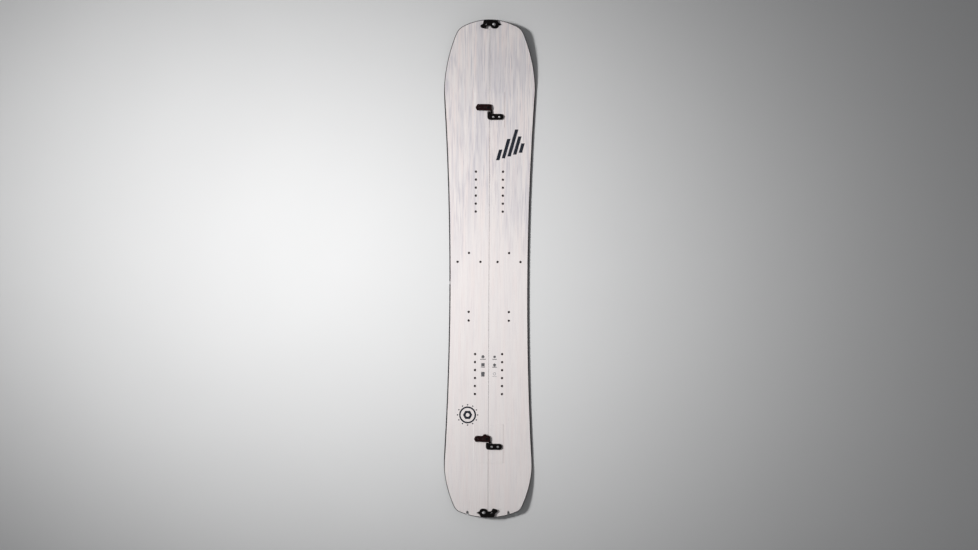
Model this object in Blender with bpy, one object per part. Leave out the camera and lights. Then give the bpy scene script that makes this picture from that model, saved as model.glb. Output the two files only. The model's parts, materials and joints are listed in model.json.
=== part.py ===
"""Splitboard: two laminated half boards, two seam clips and two tip hooks.

Blender 4.5, metres, +Z up. X = 0 is the seam, Y = 0 the middle of the length with the
nose at +Y, and Z = 0 the surface that the base lies on.
"""

import math

import bmesh
import bpy
import numpy as np
from mathutils import Vector
from mathutils.geometry import delaunay_2d_cdt

MM = 0.001
GAP = 0.3 * MM  # between touching pieces

# Plan outline of the whole board
HALF_LENGTH = 790 * MM
WAIST_HALF_WIDTH = 126 * MM
WAIST_Y = -66 * MM
SIDECUT_RADIUS = 9.55
NOSE_WIDEST_Y, TAIL_WIDEST_Y = 552 * MM, -608 * MM
NOSE_FLANK_RADIUS, TAIL_FLANK_RADIUS = 503 * MM, 345 * MM
NOSE_END_RADIUS, TAIL_END_RADIUS = 180 * MM, 240 * MM
FLANK_BLEND = 30 * MM  # half the length over which the sidecut turns into a flank
NOSE_CORNER_X, NOSE_CORNER_Y = 88 * MM, 742 * MM  # where the nose corner's curve begins and ends
TAIL_CORNER_X, TAIL_CORNER_Y = 91 * MM, -752 * MM
SEAM_HALF_GAP = GAP
NOTCH_X = 65 * MM
NOTCH_RADIUS = 3 * MM
NOTCH_DEPTH = 12 * MM

# Side profile
NOSE_CONTACT_Y, TAIL_CONTACT_Y = 530 * MM, -585 * MM
TIP_BEND_RADIUS = 450 * MM
TIP_ANGLE = math.radians(10.3)
TIP_THINNING = 2.5 * MM  # how much thinner the very tips are than the middle
BEND_STEPS = 6

# Layers: (height of the underside, height of the top) over the bottom of the board
BASE = (0.0, 1.2 * MM)
EDGE = (0.0, 2.2 * MM)
LOWER_LAMINATE = (1.5 * MM, 2.2 * MM)
CORE = (2.5 * MM, 6.9 * MM)
UPPER_LAMINATE = (7.2 * MM, 7.9 * MM)
TOPSHEET = (8.2 * MM, 9.0 * MM)
EDGE_WIDTH = 2 * MM
SIDEWALL_FOOT, SIDEWALL_HEAD = 0.2 * MM, 1.6 * MM  # insets of the slanting outer face
SIDEWALL_DEPTH = 5 * MM
TOPSHEET_TIP_INSET = 2.4 * MM
TOPSHEET_WAIST_INSET = 4.2 * MM  # between the contact points, where a ledge of sidewall shows
TOPSHEET_SEAM_INSET = 0.3 * MM
TOPSHEET_INSET_RUN = 60 * MM  # length over which one inset turns into the other

# Raised topsheet pads under the seam clips
PAD_HEIGHT = 0.4 * MM
PAD_HALF_WIDTH = 48 * MM
PAD_SPANS = ((450 * MM, 561 * MM), (-618 * MM, -494 * MM))
PAD_BEVEL = 1.2 * MM

# Threaded inserts: centres on one half, with x measured from the seam
INSERT_PITCH = 25.4 * MM
BINDING_ROW_X = 43 * MM
BINDING_ROW_COUNT = 6
FRONT_BINDING_Y, REAR_BINDING_Y = 245 * MM, -335 * MM
TOURING_POINTS = ((27.2 * MM, 21.6 * MM), (100 * MM, 21.6 * MM), (63.7 * MM, 50 * MM))
HEEL_POINTS = ((63.9 * MM, -165 * MM), (63.9 * MM, -137.6 * MM))
INSERT_BORE = 2.5 * MM  # radius
INSERT_RADIUS = 4.5 * MM
INSERT_HOLE = 4.8 * MM
TOPSHEET_HOLE = 3.8 * MM
INSERT_PLATE = (2.5 * MM, 3.3 * MM)
INSERT_PLATE_RADIUS = 7 * MM

# Seam clips, at the height of the pads: (underside, top) of each flat piece
CLIP_Y = {"front": 498 * MM, "rear": -555 * MM}
CLIP_ORIGIN_Z = TOPSHEET[1] + PAD_HEIGHT
BRACKET = (0.3 * MM, 2.9 * MM)
HOOK = (3.3 * MM, 5.7 * MM)
LEVER = (6.0 * MM, 8.8 * MM)
CATCH = (0.3 * MM, 5.7 * MM)
PIVOT = (-5 * MM, 14 * MM)
PIVOT_RADIUS = 2.6 * MM
PIVOT_HEAD = 4.7 * MM
HUB_RADIUS = 5.5 * MM
HUB_OFFSET = 1.77 * MM  # how far off the pivot the lever's round hub sits
LEVER_SCREWS = ((-35 * MM, 14 * MM), (-18.5 * MM, 14 * MM))
CATCH_SCREWS = ((11.1 * MM, -15.6 * MM), (30.5 * MM, -15.6 * MM))
SCREW_SHANK = 2 * MM
SCREW_HOLE = 2.5 * MM
SCREW_HEAD = 3.9 * MM
SCREW_DEPTH = 5.5 * MM
COUNTERBORE = 4.6 * MM
RUNNING_GAP = 0.45 * MM  # between the lever's hub and the slot of the hook

# Seam clip outlines: (x, y, fillet radius) of each corner, in millimetres
BRACKET_CORNERS = ((-42, 6, 5), (-3, 6, 3), (-1, 9, 2), (-1, 21, 4), (-39, 22.5, 5), (-43, 17, 4))
HOOK_CORNERS = (
    (-13.7, 5, 3), (1, 4.2, 0), (2.6, -5, 1.2), (9.2, -5, 1.5),
    (6.4, 12, 3), (6.4, 24.5, 5), (-13.7, 24.5, 4),
)
LEVER_UNDERSIDE = ((-45.5, 14, 2), (-40, 4.2, 3), (-30, 5.6, 8), (-20, 4.4, 8), (2, 4, 4), (6, 9, 4))
LEVER_CORNERS = {
    "front": LEVER_UNDERSIDE + ((6, 19, 5), (0, 25, 5), (-39, 25, 4)),
    "rear": LEVER_UNDERSIDE + (
        (6, 19, 5), (0, 24.5, 4), (-5, 25.5, 2), (-8, 29.5, 3), (-14, 29.5, 3),
        (-18, 24, 3), (-40, 24, 4),
    ),
}
CATCH_CORNERS = (
    (-7.6, 2, 2), (-7.6, -24.8, 8.5), (43.9, -24.8, 9), (43.9, -5.7, 9), (2.4, -5.7, 1), (0.6, 2, 1.5),
)
CATCH_RISE = {"front": 0, "rear": 4.5}  # how much nearer to its lever each catch sits, in millimetres
CATCH_RELIEF_X = 1 * MM  # the catch stands clear of the left half up to here

# Tip hooks, in the plane of the raised tip: origin on the seam at the end of the board,
# y outwards along the slope, z away from the topsheet
TIP_PLATE = (0.3 * MM, 2.3 * MM)
TIP_HOOK = (6.2 * MM, 8.8 * MM)
TIP_PIVOT = (-12.4 * MM, -15.6 * MM)
TIP_STUD = (12.7 * MM, -15.6 * MM)
TIP_STUD_RADIUS = 3.2 * MM
TIP_STUD_COLLAR = 5 * MM
TIP_STUD_CAP = 4.8 * MM
TIP_PIVOT_COLLAR = 6 * MM
TIP_PIVOT_HEAD = 5 * MM
TIP_SLOT = 4.0 * MM  # half width of the slot that takes the stud
TIP_SLOT_FINGER, TIP_SLOT_HEEL = 2 * MM, 3.8 * MM  # how far its walls run on past the stud
TIP_POST_FOOT = 2.7 * MM
TIP_PLATE_HOLE = 3.1 * MM
TIP_BOARD_HOLE = 3.0 * MM
TIP_SCREWS = {"hook_plate": (-7.5 * MM, -7 * MM), "stud_plate": (25 * MM, -15.8 * MM)}
HOOK_PLATE_CORNERS = (
    (-1.2, -1.5, 3), (-20.5, -1.5, 3), (-20.5, -22, 4), (-9.5, -22, 3), (-5, -17.5, 2), (-1.2, -17.5, 2),
)
STUD_PLATE_CORNERS = (
    (0.5, -2.2, 6), (22.5, -2.2, 5), (27.5, -11, 2), (37, -16, 1.2), (27, -20.5, 2), (24.5, -29.2, 10),
    (0.5, -29.2, 11.5),
)
TIP_HOOK_CORNERS = (
    (25.2, -17.6, 2), (25.2, -0.9, 8), (-20, -0.9, 4), (-23, -13.5, 3),
    (-32, -19.5, 3), (-28.5, -26, 3), (-15, -29.5, 3.5), (-10.5, -20.4, 3),
)

SIDES = {"left": -1, "right": 1}

COLOURS = {  # linear base colour, roughness, metallic
    "topsheet": ((0.80, 0.77, 0.75), 0.55, 0.0),
    "laminate": ((0.55, 0.58, 0.45), 0.5, 0.0),
    "core": ((0.62, 0.45, 0.26), 0.7, 0.0),
    "spacer": ((0.10, 0.10, 0.11), 0.6, 0.0),
    "sidewall": ((0.06, 0.05, 0.06), 0.5, 0.0),
    "base": ((0.03, 0.03, 0.035), 0.45, 0.0),
    "edge": ((0.42, 0.41, 0.42), 0.35, 1.0),
    "insert": ((0.20, 0.17, 0.17), 0.4, 1.0),
    "clip": ((0.02, 0.014, 0.014), 0.45, 0.6),
    "lever": ((0.035, 0.014, 0.014), 0.4, 0.5),
    "steel": ((0.50, 0.49, 0.50), 0.3, 1.0),
}


# ---------------------------------------------------------------- plan curves


def circle(centre, radius, count=12):
    """Points round a circle, anticlockwise."""
    turns = [2 * math.pi * i / count for i in range(count)]
    return [(centre[0] + radius * math.cos(a), centre[1] + radius * math.sin(a)) for a in turns]


def arc(centre, radius, first, last, steps):
    """Points along an arc from one angle to another, both in degrees."""
    turns = np.radians(np.linspace(first, last, steps + 1))
    return [(centre[0] + radius * math.cos(a), centre[1] + radius * math.sin(a)) for a in turns]


def rounded(corners, steps=4):
    """A closed polygon from (x, y, fillet radius) corners, all in millimetres."""
    points = []
    count = len(corners)
    for i, (x, y, radius) in enumerate(corners):
        corner = Vector((x, y))
        if not radius:
            points.append(corner)
            continue
        back = (Vector(corners[i - 1][:2]) - corner).normalized()
        ahead = (Vector(corners[(i + 1) % count][:2]) - corner).normalized()
        half = back.angle(ahead) / 2
        centre = corner + (back + ahead).normalized() * radius / math.sin(half)
        start = corner + back * radius / math.tan(half) - centre
        turn = start.angle_signed(corner + ahead * radius / math.tan(half) - centre)
        for step in range(steps + 1):
            a = -turn * step / steps
            x_axis = start.x * math.cos(a) - start.y * math.sin(a)
            y_axis = start.x * math.sin(a) + start.y * math.cos(a)
            points.append(centre + Vector((x_axis, y_axis)))
    return [(p.x * MM, p.y * MM) for p in points]


def rounded_hull(centres, radius, steps=4):
    """The outline round equal circles, whose centres run anticlockwise."""
    points = []
    count = len(centres)
    for i, (x, y) in enumerate(centres):
        before, after = centres[i - 1], centres[(i + 1) % count]
        first = math.atan2(y - before[1], x - before[0]) - math.pi / 2
        last = math.atan2(after[1] - y, after[0] - x) - math.pi / 2
        last += 2 * math.pi if last < first else 0
        for step in range(steps + 1):
            a = first + (last - first) * step / steps
            points.append((x + radius * math.cos(a), y + radius * math.sin(a)))
    return points


def on_circle(centre, radius, y, side):
    """The point of a circle at a height y, and the direction of its tangent there."""
    reach = math.sqrt(radius**2 - (y - centre[1]) ** 2)
    return Vector((centre[0] + side * reach, y)), Vector((-side * (y - centre[1]) / reach, 1))


def on_end(radius, end, x):
    """The point of the nose (end = 1) or tail (end = -1) arc at x, and its tangent."""
    reach = math.sqrt(radius**2 - x**2)
    y = end * (HALF_LENGTH - radius + reach)
    return Vector((x, y)), Vector((1, -end * x / reach))


def blend(start, start_way, end, end_way, steps):
    """A curve from start to end that keeps both tangents; its own ends are left out."""
    across = end - start
    scale = across.cross(end_way) / start_way.cross(end_way)
    control = start + start_way * scale
    shares = [i / steps for i in range(1, steps)]
    return [start * (1 - t) ** 2 + control * 2 * t * (1 - t) + end * t**2 for t in shares]


def board_edge():
    """The outer edge of the right half, from the seam at the tail to the seam at the nose."""
    sidecut = ((WAIST_HALF_WIDTH + SIDECUT_RADIUS, WAIST_Y), SIDECUT_RADIUS)

    def cut(y):
        return on_circle(*sidecut, y, -1)

    def tip(end, widest_y, flank_radius, end_radius, corner_x, corner_y):
        widest = cut(widest_y)[0].x
        flank = ((widest - flank_radius, widest_y), flank_radius)
        close = widest_y - end * FLANK_BLEND
        far = widest_y + end * FLANK_BLEND
        points = [on_end(end_radius, end, x)[0] for x in np.linspace(0, corner_x, 8)]
        points += blend(*on_end(end_radius, end, corner_x), *on_circle(*flank, corner_y, 1), 5)
        points += [on_circle(*flank, y, 1)[0] for y in np.linspace(corner_y, far, 7)]
        points += blend(*on_circle(*flank, far, 1), *cut(close), 3)
        return points, close

    tail, tail_close = tip(
        -1, TAIL_WIDEST_Y, TAIL_FLANK_RADIUS, TAIL_END_RADIUS, TAIL_CORNER_X, TAIL_CORNER_Y
    )
    nose, nose_close = tip(
        1, NOSE_WIDEST_Y, NOSE_FLANK_RADIUS, NOSE_END_RADIUS, NOSE_CORNER_X, NOSE_CORNER_Y
    )
    middle = [cut(y)[0] for y in np.linspace(tail_close, nose_close, 15)]
    return [tuple(p) for p in tail + middle + nose[::-1]]


def inset_line(points, inset):
    """A polyline moved to its left, which is inwards for the edge of the right half."""
    line = np.array(points)
    ways = np.diff(line, axis=0)
    ways /= np.linalg.norm(ways, axis=1)[:, None]
    normals = np.column_stack([-ways[:, 1], ways[:, 0]])
    joined = np.vstack([[0, 1], normals[:-1] + normals[1:], [0, -1]])
    joined /= np.linalg.norm(joined, axis=1)[:, None]
    ahead = np.vstack([normals, normals[-1:]])
    stretch = np.einsum("ij,ij->i", joined, ahead)
    stretch[[0, -1]] = 1
    return line + joined * (inset / stretch)[:, None]


def half_outline(inset, waist_inset=None, seam_inset=None):
    """The closed outline of the right half, inset, with the tail notch; it starts at the seam."""
    edge = board_edge()
    changes = (
        TAIL_CONTACT_Y - TOPSHEET_INSET_RUN, TAIL_CONTACT_Y, NOSE_CONTACT_Y,
        NOSE_CONTACT_Y + TOPSHEET_INSET_RUN,
    )
    waist = inset if waist_inset is None else waist_inset
    line = inset_line(edge, np.interp([y for _, y in edge], changes, (inset, waist, waist, inset)))
    seam = SEAM_HALF_GAP + (inset if seam_inset is None else seam_inset)
    inside = line[line[:, 0] > seam + GAP]
    start_y = np.interp(seam, line[:2, 0], line[:2, 1])
    end_y = np.interp(seam, line[:-3:-1, 0], line[:-3:-1, 1])
    radius = NOTCH_RADIUS + inset
    tail = inside[inside[:, 1] < TAIL_CORNER_Y]
    before = [tuple(p) for p in inside if p[1] < TAIL_CORNER_Y and p[0] < NOTCH_X - radius - MM]
    after = [tuple(p) for p in inside if p[1] > TAIL_CORNER_Y or p[0] > NOTCH_X + radius + MM]
    mouth = [(NOTCH_X + s * radius, np.interp(NOTCH_X + s * radius, *tail.T)) for s in (-1, 1)]
    centre = (NOTCH_X, on_end(TAIL_END_RADIUS, -1, NOTCH_X)[0].y + NOTCH_DEPTH - NOTCH_RADIUS)
    notch = [mouth[0]] + arc(centre, radius, 180, 0, 6) + [mouth[1]]
    return [(seam, start_y)] + before + notch + after + [(seam, end_y)]


def topsheet_outline():
    return half_outline(TOPSHEET_TIP_INSET, TOPSHEET_WAIST_INSET, TOPSHEET_SEAM_INSET)


def span_of(outline, low_y, high_y):
    """The part of a half outline between two stations, closed straight across."""
    seam = outline[0][0]
    outer = np.array(outline[1:-1])
    kept = [tuple(p) for p in outer if low_y < p[1] < high_y]
    rising = outer[np.argmax(outer[:, 0] > NOTCH_X + 2 * NOTCH_DEPTH) :]
    ends = [(np.interp(y, rising[:, 1], rising[:, 0]), y) for y in (low_y, high_y)]
    first = [(seam, low_y), ends[0]] if low_y > outline[0][1] else [outline[0]]
    last = [ends[1], (seam, high_y)] if high_y < outline[-1][1] else [outline[-1]]
    return first + kept + last


# ---------------------------------------------------------------- side profile


def bend_stations():
    """(y, height of the bottom) along the board, with straight runs between them."""
    found = []
    for end, contact in ((-1, TAIL_CONTACT_Y), (1, NOSE_CONTACT_Y)):
        turns = [TIP_ANGLE * i / BEND_STEPS for i in range(BEND_STEPS + 1)]
        for turn in turns:
            along = TIP_BEND_RADIUS * math.sin(turn)
            found.append((contact + end * along, TIP_BEND_RADIUS * (1 - math.cos(turn))))
        rest = HALF_LENGTH - abs(found[-1][0])
        found.append((end * HALF_LENGTH, found[-1][1] + rest * math.tan(TIP_ANGLE)))
    return sorted(found)


STATIONS = bend_stations()


def bottom_z(y):
    return float(np.interp(y, *zip(*STATIONS)))


def thinning(y):
    ends = (-HALF_LENGTH, TAIL_CONTACT_Y, NOSE_CONTACT_Y, HALF_LENGTH)
    return float(np.interp(y, ends, (TIP_THINNING, 0, 0, TIP_THINNING)))


def follows_board(level, thins):
    """A function that gives the height of a layer's face at y."""
    return lambda y: bottom_z(y) + level - (thinning(y) if thins else 0)


def tip_slope(end):
    """Angle of the topsheet's plane at the nose (1) or the tail (-1)."""
    contact = NOSE_CONTACT_Y if end > 0 else TAIL_CONTACT_Y
    return math.atan(math.tan(TIP_ANGLE) - TIP_THINNING / (HALF_LENGTH - abs(contact)))


# ---------------------------------------------------------------- meshes and objects


def material_for(name, look):
    colour, roughness, metallic = COLOURS[look]
    material = bpy.data.materials.new(name)
    material.use_nodes = True
    shader = material.node_tree.nodes["Principled BSDF"]
    shader.inputs["Base Color"].default_value = (*colour, 1)
    shader.inputs["Roughness"].default_value = roughness
    shader.inputs["Metallic"].default_value = metallic
    material.diffuse_color = (*colour, 1)
    return material


def add_object(name, bm, look, parent=None, place=(0, 0, 0), smooth=False):
    """Turn a bmesh into a named object with a material of its own."""
    bmesh.ops.recalc_face_normals(bm, faces=bm.faces)
    mesh = bpy.data.meshes.new(name)
    bm.to_mesh(mesh)
    bm.free()
    if smooth:
        mesh.shade_smooth()
        mesh.set_sharp_from_angle(angle=math.radians(35))
    obj = bpy.data.objects.new(name, mesh)
    obj.data.materials.append(material_for(name, look))
    obj.parent = parent
    obj.location = place
    bpy.context.scene.collection.objects.link(obj)
    return obj


def add_frame(name, parent=None, place=(0, 0, 0), turn=(0, 0, 0)):
    frame = bpy.data.objects.new(name, None)
    frame.parent = parent
    frame.location = place
    frame.rotation_euler = turn
    frame.empty_display_size = 20 * MM
    bpy.context.scene.collection.objects.link(frame)
    return frame


def holds(loop, point):
    """Whether a closed loop goes round a point."""
    x, y = np.array(loop).T
    next_x, next_y = np.roll(x, -1), np.roll(y, -1)
    crosses = (y > point[1]) != (next_y > point[1])
    rise = np.where(crosses, next_y - y, 1)
    beyond = crosses & (point[0] < x + (point[1] - y) * (next_x - x) / rise)
    return np.count_nonzero(beyond) % 2 == 1


def triangles_in(loops):
    """Triangles, as indices into the joined loops, that fill the first loop but not the others."""
    points = [Vector(p) for loop in loops for p in loop]
    edges = []
    start = 0
    for loop in loops:
        edges += [(start + i, start + (i + 1) % len(loop)) for i in range(len(loop))]
        start += len(loop)
    _, _, faces, sources, _, _ = delaunay_2d_cdt(points, edges, [], 0, 1e-9)
    found = [[sources[i][0] for i in face] for face in faces]
    middles = [sum((points[i] for i in face), Vector((0, 0))) / 3 for face in found]
    return [
        face
        for face, middle in zip(found, middles)
        if holds(loops[0], middle) and not any(holds(hole, middle) for hole in loops[1:])
    ]


def prism(low_loops, high_loops, low_z, high_z):
    """A closed solid between two sets of loops; the first is the outline, the others holes."""
    bm = bmesh.new()
    triangles = triangles_in(low_loops)
    low = [bm.verts.new((*p, low_z)) for loop in low_loops for p in loop]
    high = [bm.verts.new((*p, high_z)) for loop in high_loops for p in loop]
    for corners in triangles:
        bm.faces.new([low[i] for i in corners])
        bm.faces.new([high[i] for i in reversed(corners)])
    start = 0
    for loop in low_loops:
        for i in range(len(loop)):
            a, b = start + i, start + (i + 1) % len(loop)
            bm.faces.new([low[a], low[b], high[b], high[a]])
        start += len(loop)
    return bm


def plate(loops, span, origin=(0, 0)):
    """A flat piece from loops in plan and its (underside, top), moved to its own origin."""
    moved = [[(x - origin[0], y - origin[1]) for x, y in loop] for loop in loops]
    return prism(moved, moved, *span)


def mirrored(loop, side):
    return loop if side > 0 else [(-x, y) for x, y in loop]


def layer(name, look, side, low, high, holes, low_face, high_face, parent):
    """One layer of a half: flat loops cut at the bend's stations and laid on the profile."""
    low_loops = [mirrored(loop, side) for loop in [low] + holes]
    high_loops = [mirrored(loop, side) for loop in [high] + holes]
    bm = prism(low_loops, high_loops, 0, 1)
    for y, _ in STATIONS[1:-1]:
        cut = bm.verts[:] + bm.edges[:] + bm.faces[:]
        bmesh.ops.bisect_plane(bm, geom=cut, dist=1e-7, plane_co=(0, y, 0), plane_no=(0, 1, 0))
    for vertex in bm.verts:
        face = low_face if vertex.co.z < 0.5 else high_face
        vertex.co.z = face(vertex.co.y)
    return add_object(name, bm, look, parent)


def turned(profile, segments=12):
    """A closed solid turned about Z from (radius, height) points; both ends are capped."""
    bm = bmesh.new()
    rings = []
    for radius, height in profile:
        rings.append([bm.verts.new((x, y, height)) for x, y in circle((0, 0), radius, segments)])
    for below, above in zip(rings, rings[1:]):
        for i in range(segments):
            j = (i + 1) % segments
            bm.faces.new([below[i], below[j], above[j], above[i]])
    bm.faces.new(rings[0])
    bm.faces.new(rings[-1])
    return bm


def helper(name, bm, parent, place=(0, 0, 0)):
    """A cutter or an added shape for a Boolean; it is no part of the model."""
    obj = add_object(name, bm, "steel", parent, place)
    obj.hide_render = True
    obj.display_type = "WIRE"
    return obj


def combine(obj, other, operation):
    modifier = obj.modifiers.new(other.name, "BOOLEAN")
    modifier.operation = operation
    modifier.solver = "EXACT"
    modifier.object = other


# ---------------------------------------------------------------- half boards


def row_of(centre_y):
    """The insert centres of one binding row."""
    first = centre_y - INSERT_PITCH * (BINDING_ROW_COUNT - 1) / 2
    return [(BINDING_ROW_X, first + INSERT_PITCH * i) for i in range(BINDING_ROW_COUNT)]


def insert_groups():
    """Each group's insert centres and the corners of its retaining plate."""
    front, rear = row_of(FRONT_BINDING_Y), row_of(REAR_BINDING_Y)
    return {
        "front_binding_inserts": (front, (front[0], front[-1])),
        "rear_binding_inserts": (rear, (rear[0], rear[-1])),
        "touring_inserts": (TOURING_POINTS, TOURING_POINTS),
        "heel_inserts": (HEEL_POINTS, HEEL_POINTS),
    }


def insert_holes(radius):
    return [circle(p, radius) for points, _ in insert_groups().values() for p in points]


def raised(corners, rise):
    """Outline corners with the ones of the catch's side, below y = 0, moved up by rise."""
    return [(x, y + rise if y < 0 else y, radius) for x, y, radius in corners]


def catch_screws(which):
    return [(x, y + CATCH_RISE[which] * MM) for x, y in CATCH_SCREWS]


def clip_screw_holes(side):
    """Screw holes of both seam clips, given on the right half's side of the seam."""
    holes = []
    for which, clip_y in CLIP_Y.items():
        points = catch_screws(which) if side > 0 else LEVER_SCREWS
        holes += [circle((abs(x), clip_y + y), SCREW_HOLE, 10) for x, y in points]
    return holes


def tip_screw_hole(side, end):
    """The tip plate's screw hole: the hook plate is on the left at the nose, right at the tail."""
    x, y = TIP_SCREWS["hook_plate" if side == -end else "stud_plate"]
    return circle((abs(x), end * (HALF_LENGTH + y)), TIP_BOARD_HOLE, 10)


def add_insert_group(name, side, centres, corners, parent):
    """Threaded barrels standing on one retaining plate, as a single casting."""
    rims = [mirrored(circle(p, INSERT_RADIUS), side) for p in centres]
    bores = [mirrored(circle(p, INSERT_BORE), side) for p in centres]
    outline = mirrored(rounded_hull(corners, INSERT_PLATE_RADIUS), side)
    floor, top = INSERT_PLATE
    bm = bmesh.new()
    low = [bm.verts.new((*p, floor)) for p in outline]
    high = [bm.verts.new((*p, top)) for p in outline]
    bm.faces.new(low)
    count = len(outline)
    for i in range(count):
        j = (i + 1) % count
        bm.faces.new([low[i], low[j], high[j], high[i]])
    around = list(high)
    for rim, bore in zip(rims, bores):
        foot = [bm.verts.new((*p, top)) for p in rim]
        around += foot
        steps = [foot] + [
            [bm.verts.new((*p, z)) for p in ring]
            for ring, z in ((rim, UPPER_LAMINATE[1]), (bore, UPPER_LAMINATE[1]), (bore, top))
        ]
        for below, above in zip(steps, steps[1:]):
            for i in range(len(rim)):
                j = (i + 1) % len(rim)
                bm.faces.new([below[i], below[j], above[j], above[i]])
        bm.faces.new(steps[-1])
    for corners_of_face in triangles_in([outline] + rims):
        bm.faces.new([around[i] for i in corners_of_face])
    return add_object(name, bm, "insert", parent, smooth=True)


def add_core(side, name, parent):
    """The wood core, with a pocket under it for each retaining plate."""
    inset = SIDEWALL_DEPTH + GAP
    outline = span_of(half_outline(inset), TAIL_CONTACT_Y, NOSE_CONTACT_Y)
    holes = insert_holes(INSERT_HOLE) + clip_screw_holes(side)
    faces = (follows_board(CORE[0], False), follows_board(CORE[1], True))
    core = layer(name + "core", "core", side, outline, outline, holes, *faces, parent)
    for group, (_, corners) in insert_groups().items():
        pocket = mirrored(rounded_hull(corners, INSERT_PLATE_RADIUS + GAP), side)
        bm = prism([pocket], [pocket], CORE[0] - MM, INSERT_PLATE[1] + GAP)
        combine(core, helper(f"{name}pocket_for_{group}", bm, parent), "DIFFERENCE")


def add_spacers(side, name, parent):
    """Plastic fillings of the tips, which are also the sidewalls there."""
    low, high = half_outline(SIDEWALL_FOOT), half_outline(SIDEWALL_HEAD)
    faces = (follows_board(CORE[0], False), follows_board(CORE[1], True))
    half_gap = GAP / 2
    spans = {
        "tail": (-HALF_LENGTH, TAIL_CONTACT_Y - half_gap, -1),
        "nose": (NOSE_CONTACT_Y + half_gap, HALF_LENGTH, 1),
    }
    for tip, (start, stop, end) in spans.items():
        loops = [span_of(outline, start, stop) for outline in (low, high)]
        holes = [tip_screw_hole(side, end)]
        layer(f"{name}{tip}_spacer", "spacer", side, *loops, holes, *faces, parent)


def add_sidewalls(side, name, parent):
    """The outer sidewall, slanting in towards the topsheet, and the one along the seam."""
    faces = (follows_board(CORE[0], False), follows_board(CORE[1], True))
    span = (TAIL_CONTACT_Y + GAP / 2, NOSE_CONTACT_Y - GAP / 2)
    inner = span_of(half_outline(SIDEWALL_DEPTH), *span)[1:-1]
    loops = [
        span_of(half_outline(inset), *span)[1:-1] + inner[::-1]
        for inset in (SIDEWALL_FOOT, SIDEWALL_HEAD)
    ]
    layer(name + "outer_sidewall", "sidewall", side, *loops, [], *faces, parent)
    low_x, high_x = SEAM_HALF_GAP + SIDEWALL_FOOT, SEAM_HALF_GAP + SIDEWALL_DEPTH
    strip = [(low_x, span[0]), (high_x, span[0]), (high_x, span[1]), (low_x, span[1])]
    layer(name + "inner_sidewall", "sidewall", side, strip, strip, [], *faces, parent)


def add_topsheet(side, name, parent):
    """The topsheet, with a raised pad under each seam clip."""
    outline = topsheet_outline()
    tip_holes = [tip_screw_hole(side, end) for end in (-1, 1)]
    screws = clip_screw_holes(side)
    holes = insert_holes(TOPSHEET_HOLE) + tip_holes
    low_face, high_face = (follows_board(level, True) for level in TOPSHEET)
    topsheet = layer(
        name + "topsheet", "topsheet", side, outline, outline, holes + screws,
        low_face, high_face, parent,
    )
    middle = follows_board(sum(TOPSHEET) / 2, True)
    top = follows_board(TOPSHEET[1] + PAD_HEIGHT, True)
    seam = SEAM_HALF_GAP + TOPSHEET_SEAM_INSET
    for (start, stop), screws_here in zip(PAD_SPANS, (screws[:2], screws[2:])):
        low, high = [
            [(seam, start + rise), (PAD_HALF_WIDTH - rise, start + rise),
             (PAD_HALF_WIDTH - rise, stop - rise), (seam, stop - rise)]
            for rise in (0, PAD_BEVEL)
        ]
        name_of_pad = f"{name}pad_at_{start:.2f}"
        pad = layer(name_of_pad, "topsheet", side, low, high, screws_here, middle, top, parent)
        pad.hide_render = True
        pad.display_type = "WIRE"
        combine(topsheet, pad, "UNION")


def add_half(side_name, parent):
    side, name = SIDES[side_name], side_name + "_"
    ring_hole = half_outline(EDGE_WIDTH)
    inside = half_outline(EDGE_WIDTH + GAP)
    outline = half_outline(0)

    def flat_faces(levels):
        return [follows_board(level, False) for level in levels]

    layer(name + "edge", "edge", side, outline, outline, [ring_hole], *flat_faces(EDGE), parent)
    layer(name + "base", "base", side, inside, inside, [], *flat_faces(BASE), parent)
    faces = flat_faces(LOWER_LAMINATE)
    layer(name + "lower_laminate", "laminate", side, inside, inside, [], *faces, parent)
    add_core(side, name, parent)
    add_spacers(side, name, parent)
    add_sidewalls(side, name, parent)
    outline = topsheet_outline()
    holes = insert_holes(INSERT_HOLE) + clip_screw_holes(side)
    holes += [tip_screw_hole(side, end) for end in (-1, 1)]
    faces = [follows_board(level, True) for level in UPPER_LAMINATE]
    layer(name + "upper_laminate", "laminate", side, outline, outline, holes, *faces, parent)
    add_topsheet(side, name, parent)
    for group, (centres, corners) in insert_groups().items():
        add_insert_group(name + group, side, centres, corners, parent)


# ---------------------------------------------------------------- seam clips


def add_screw(name, parent, point):
    """A button-head screw whose head stands on a bracket's plate."""
    underside = BRACKET[1] + GAP
    profile = [
        (SCREW_SHANK * 0.8, -SCREW_DEPTH),
        (SCREW_SHANK, -SCREW_DEPTH + 0.6 * MM),
        (SCREW_SHANK, underside),
        (SCREW_HEAD, underside),
        (SCREW_HEAD, underside + 1.2 * MM),
        (SCREW_HEAD * 0.6, underside + 2.1 * MM),
    ]
    add_object(name, turned(profile), "steel", parent, (*point, 0), smooth=True)


def add_bracket(name, frame):
    outline = rounded(BRACKET_CORNERS)
    holes = [circle(p, SCREW_HOLE) for p in LEVER_SCREWS] + [circle(PIVOT, PIVOT_RADIUS + GAP)]
    add_object(name + "clip_bracket", plate([outline] + holes, BRACKET), "clip", frame)
    for i, point in enumerate(LEVER_SCREWS, 1):
        add_screw(f"{name}bracket_screw_{i}", frame, point)


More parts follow.
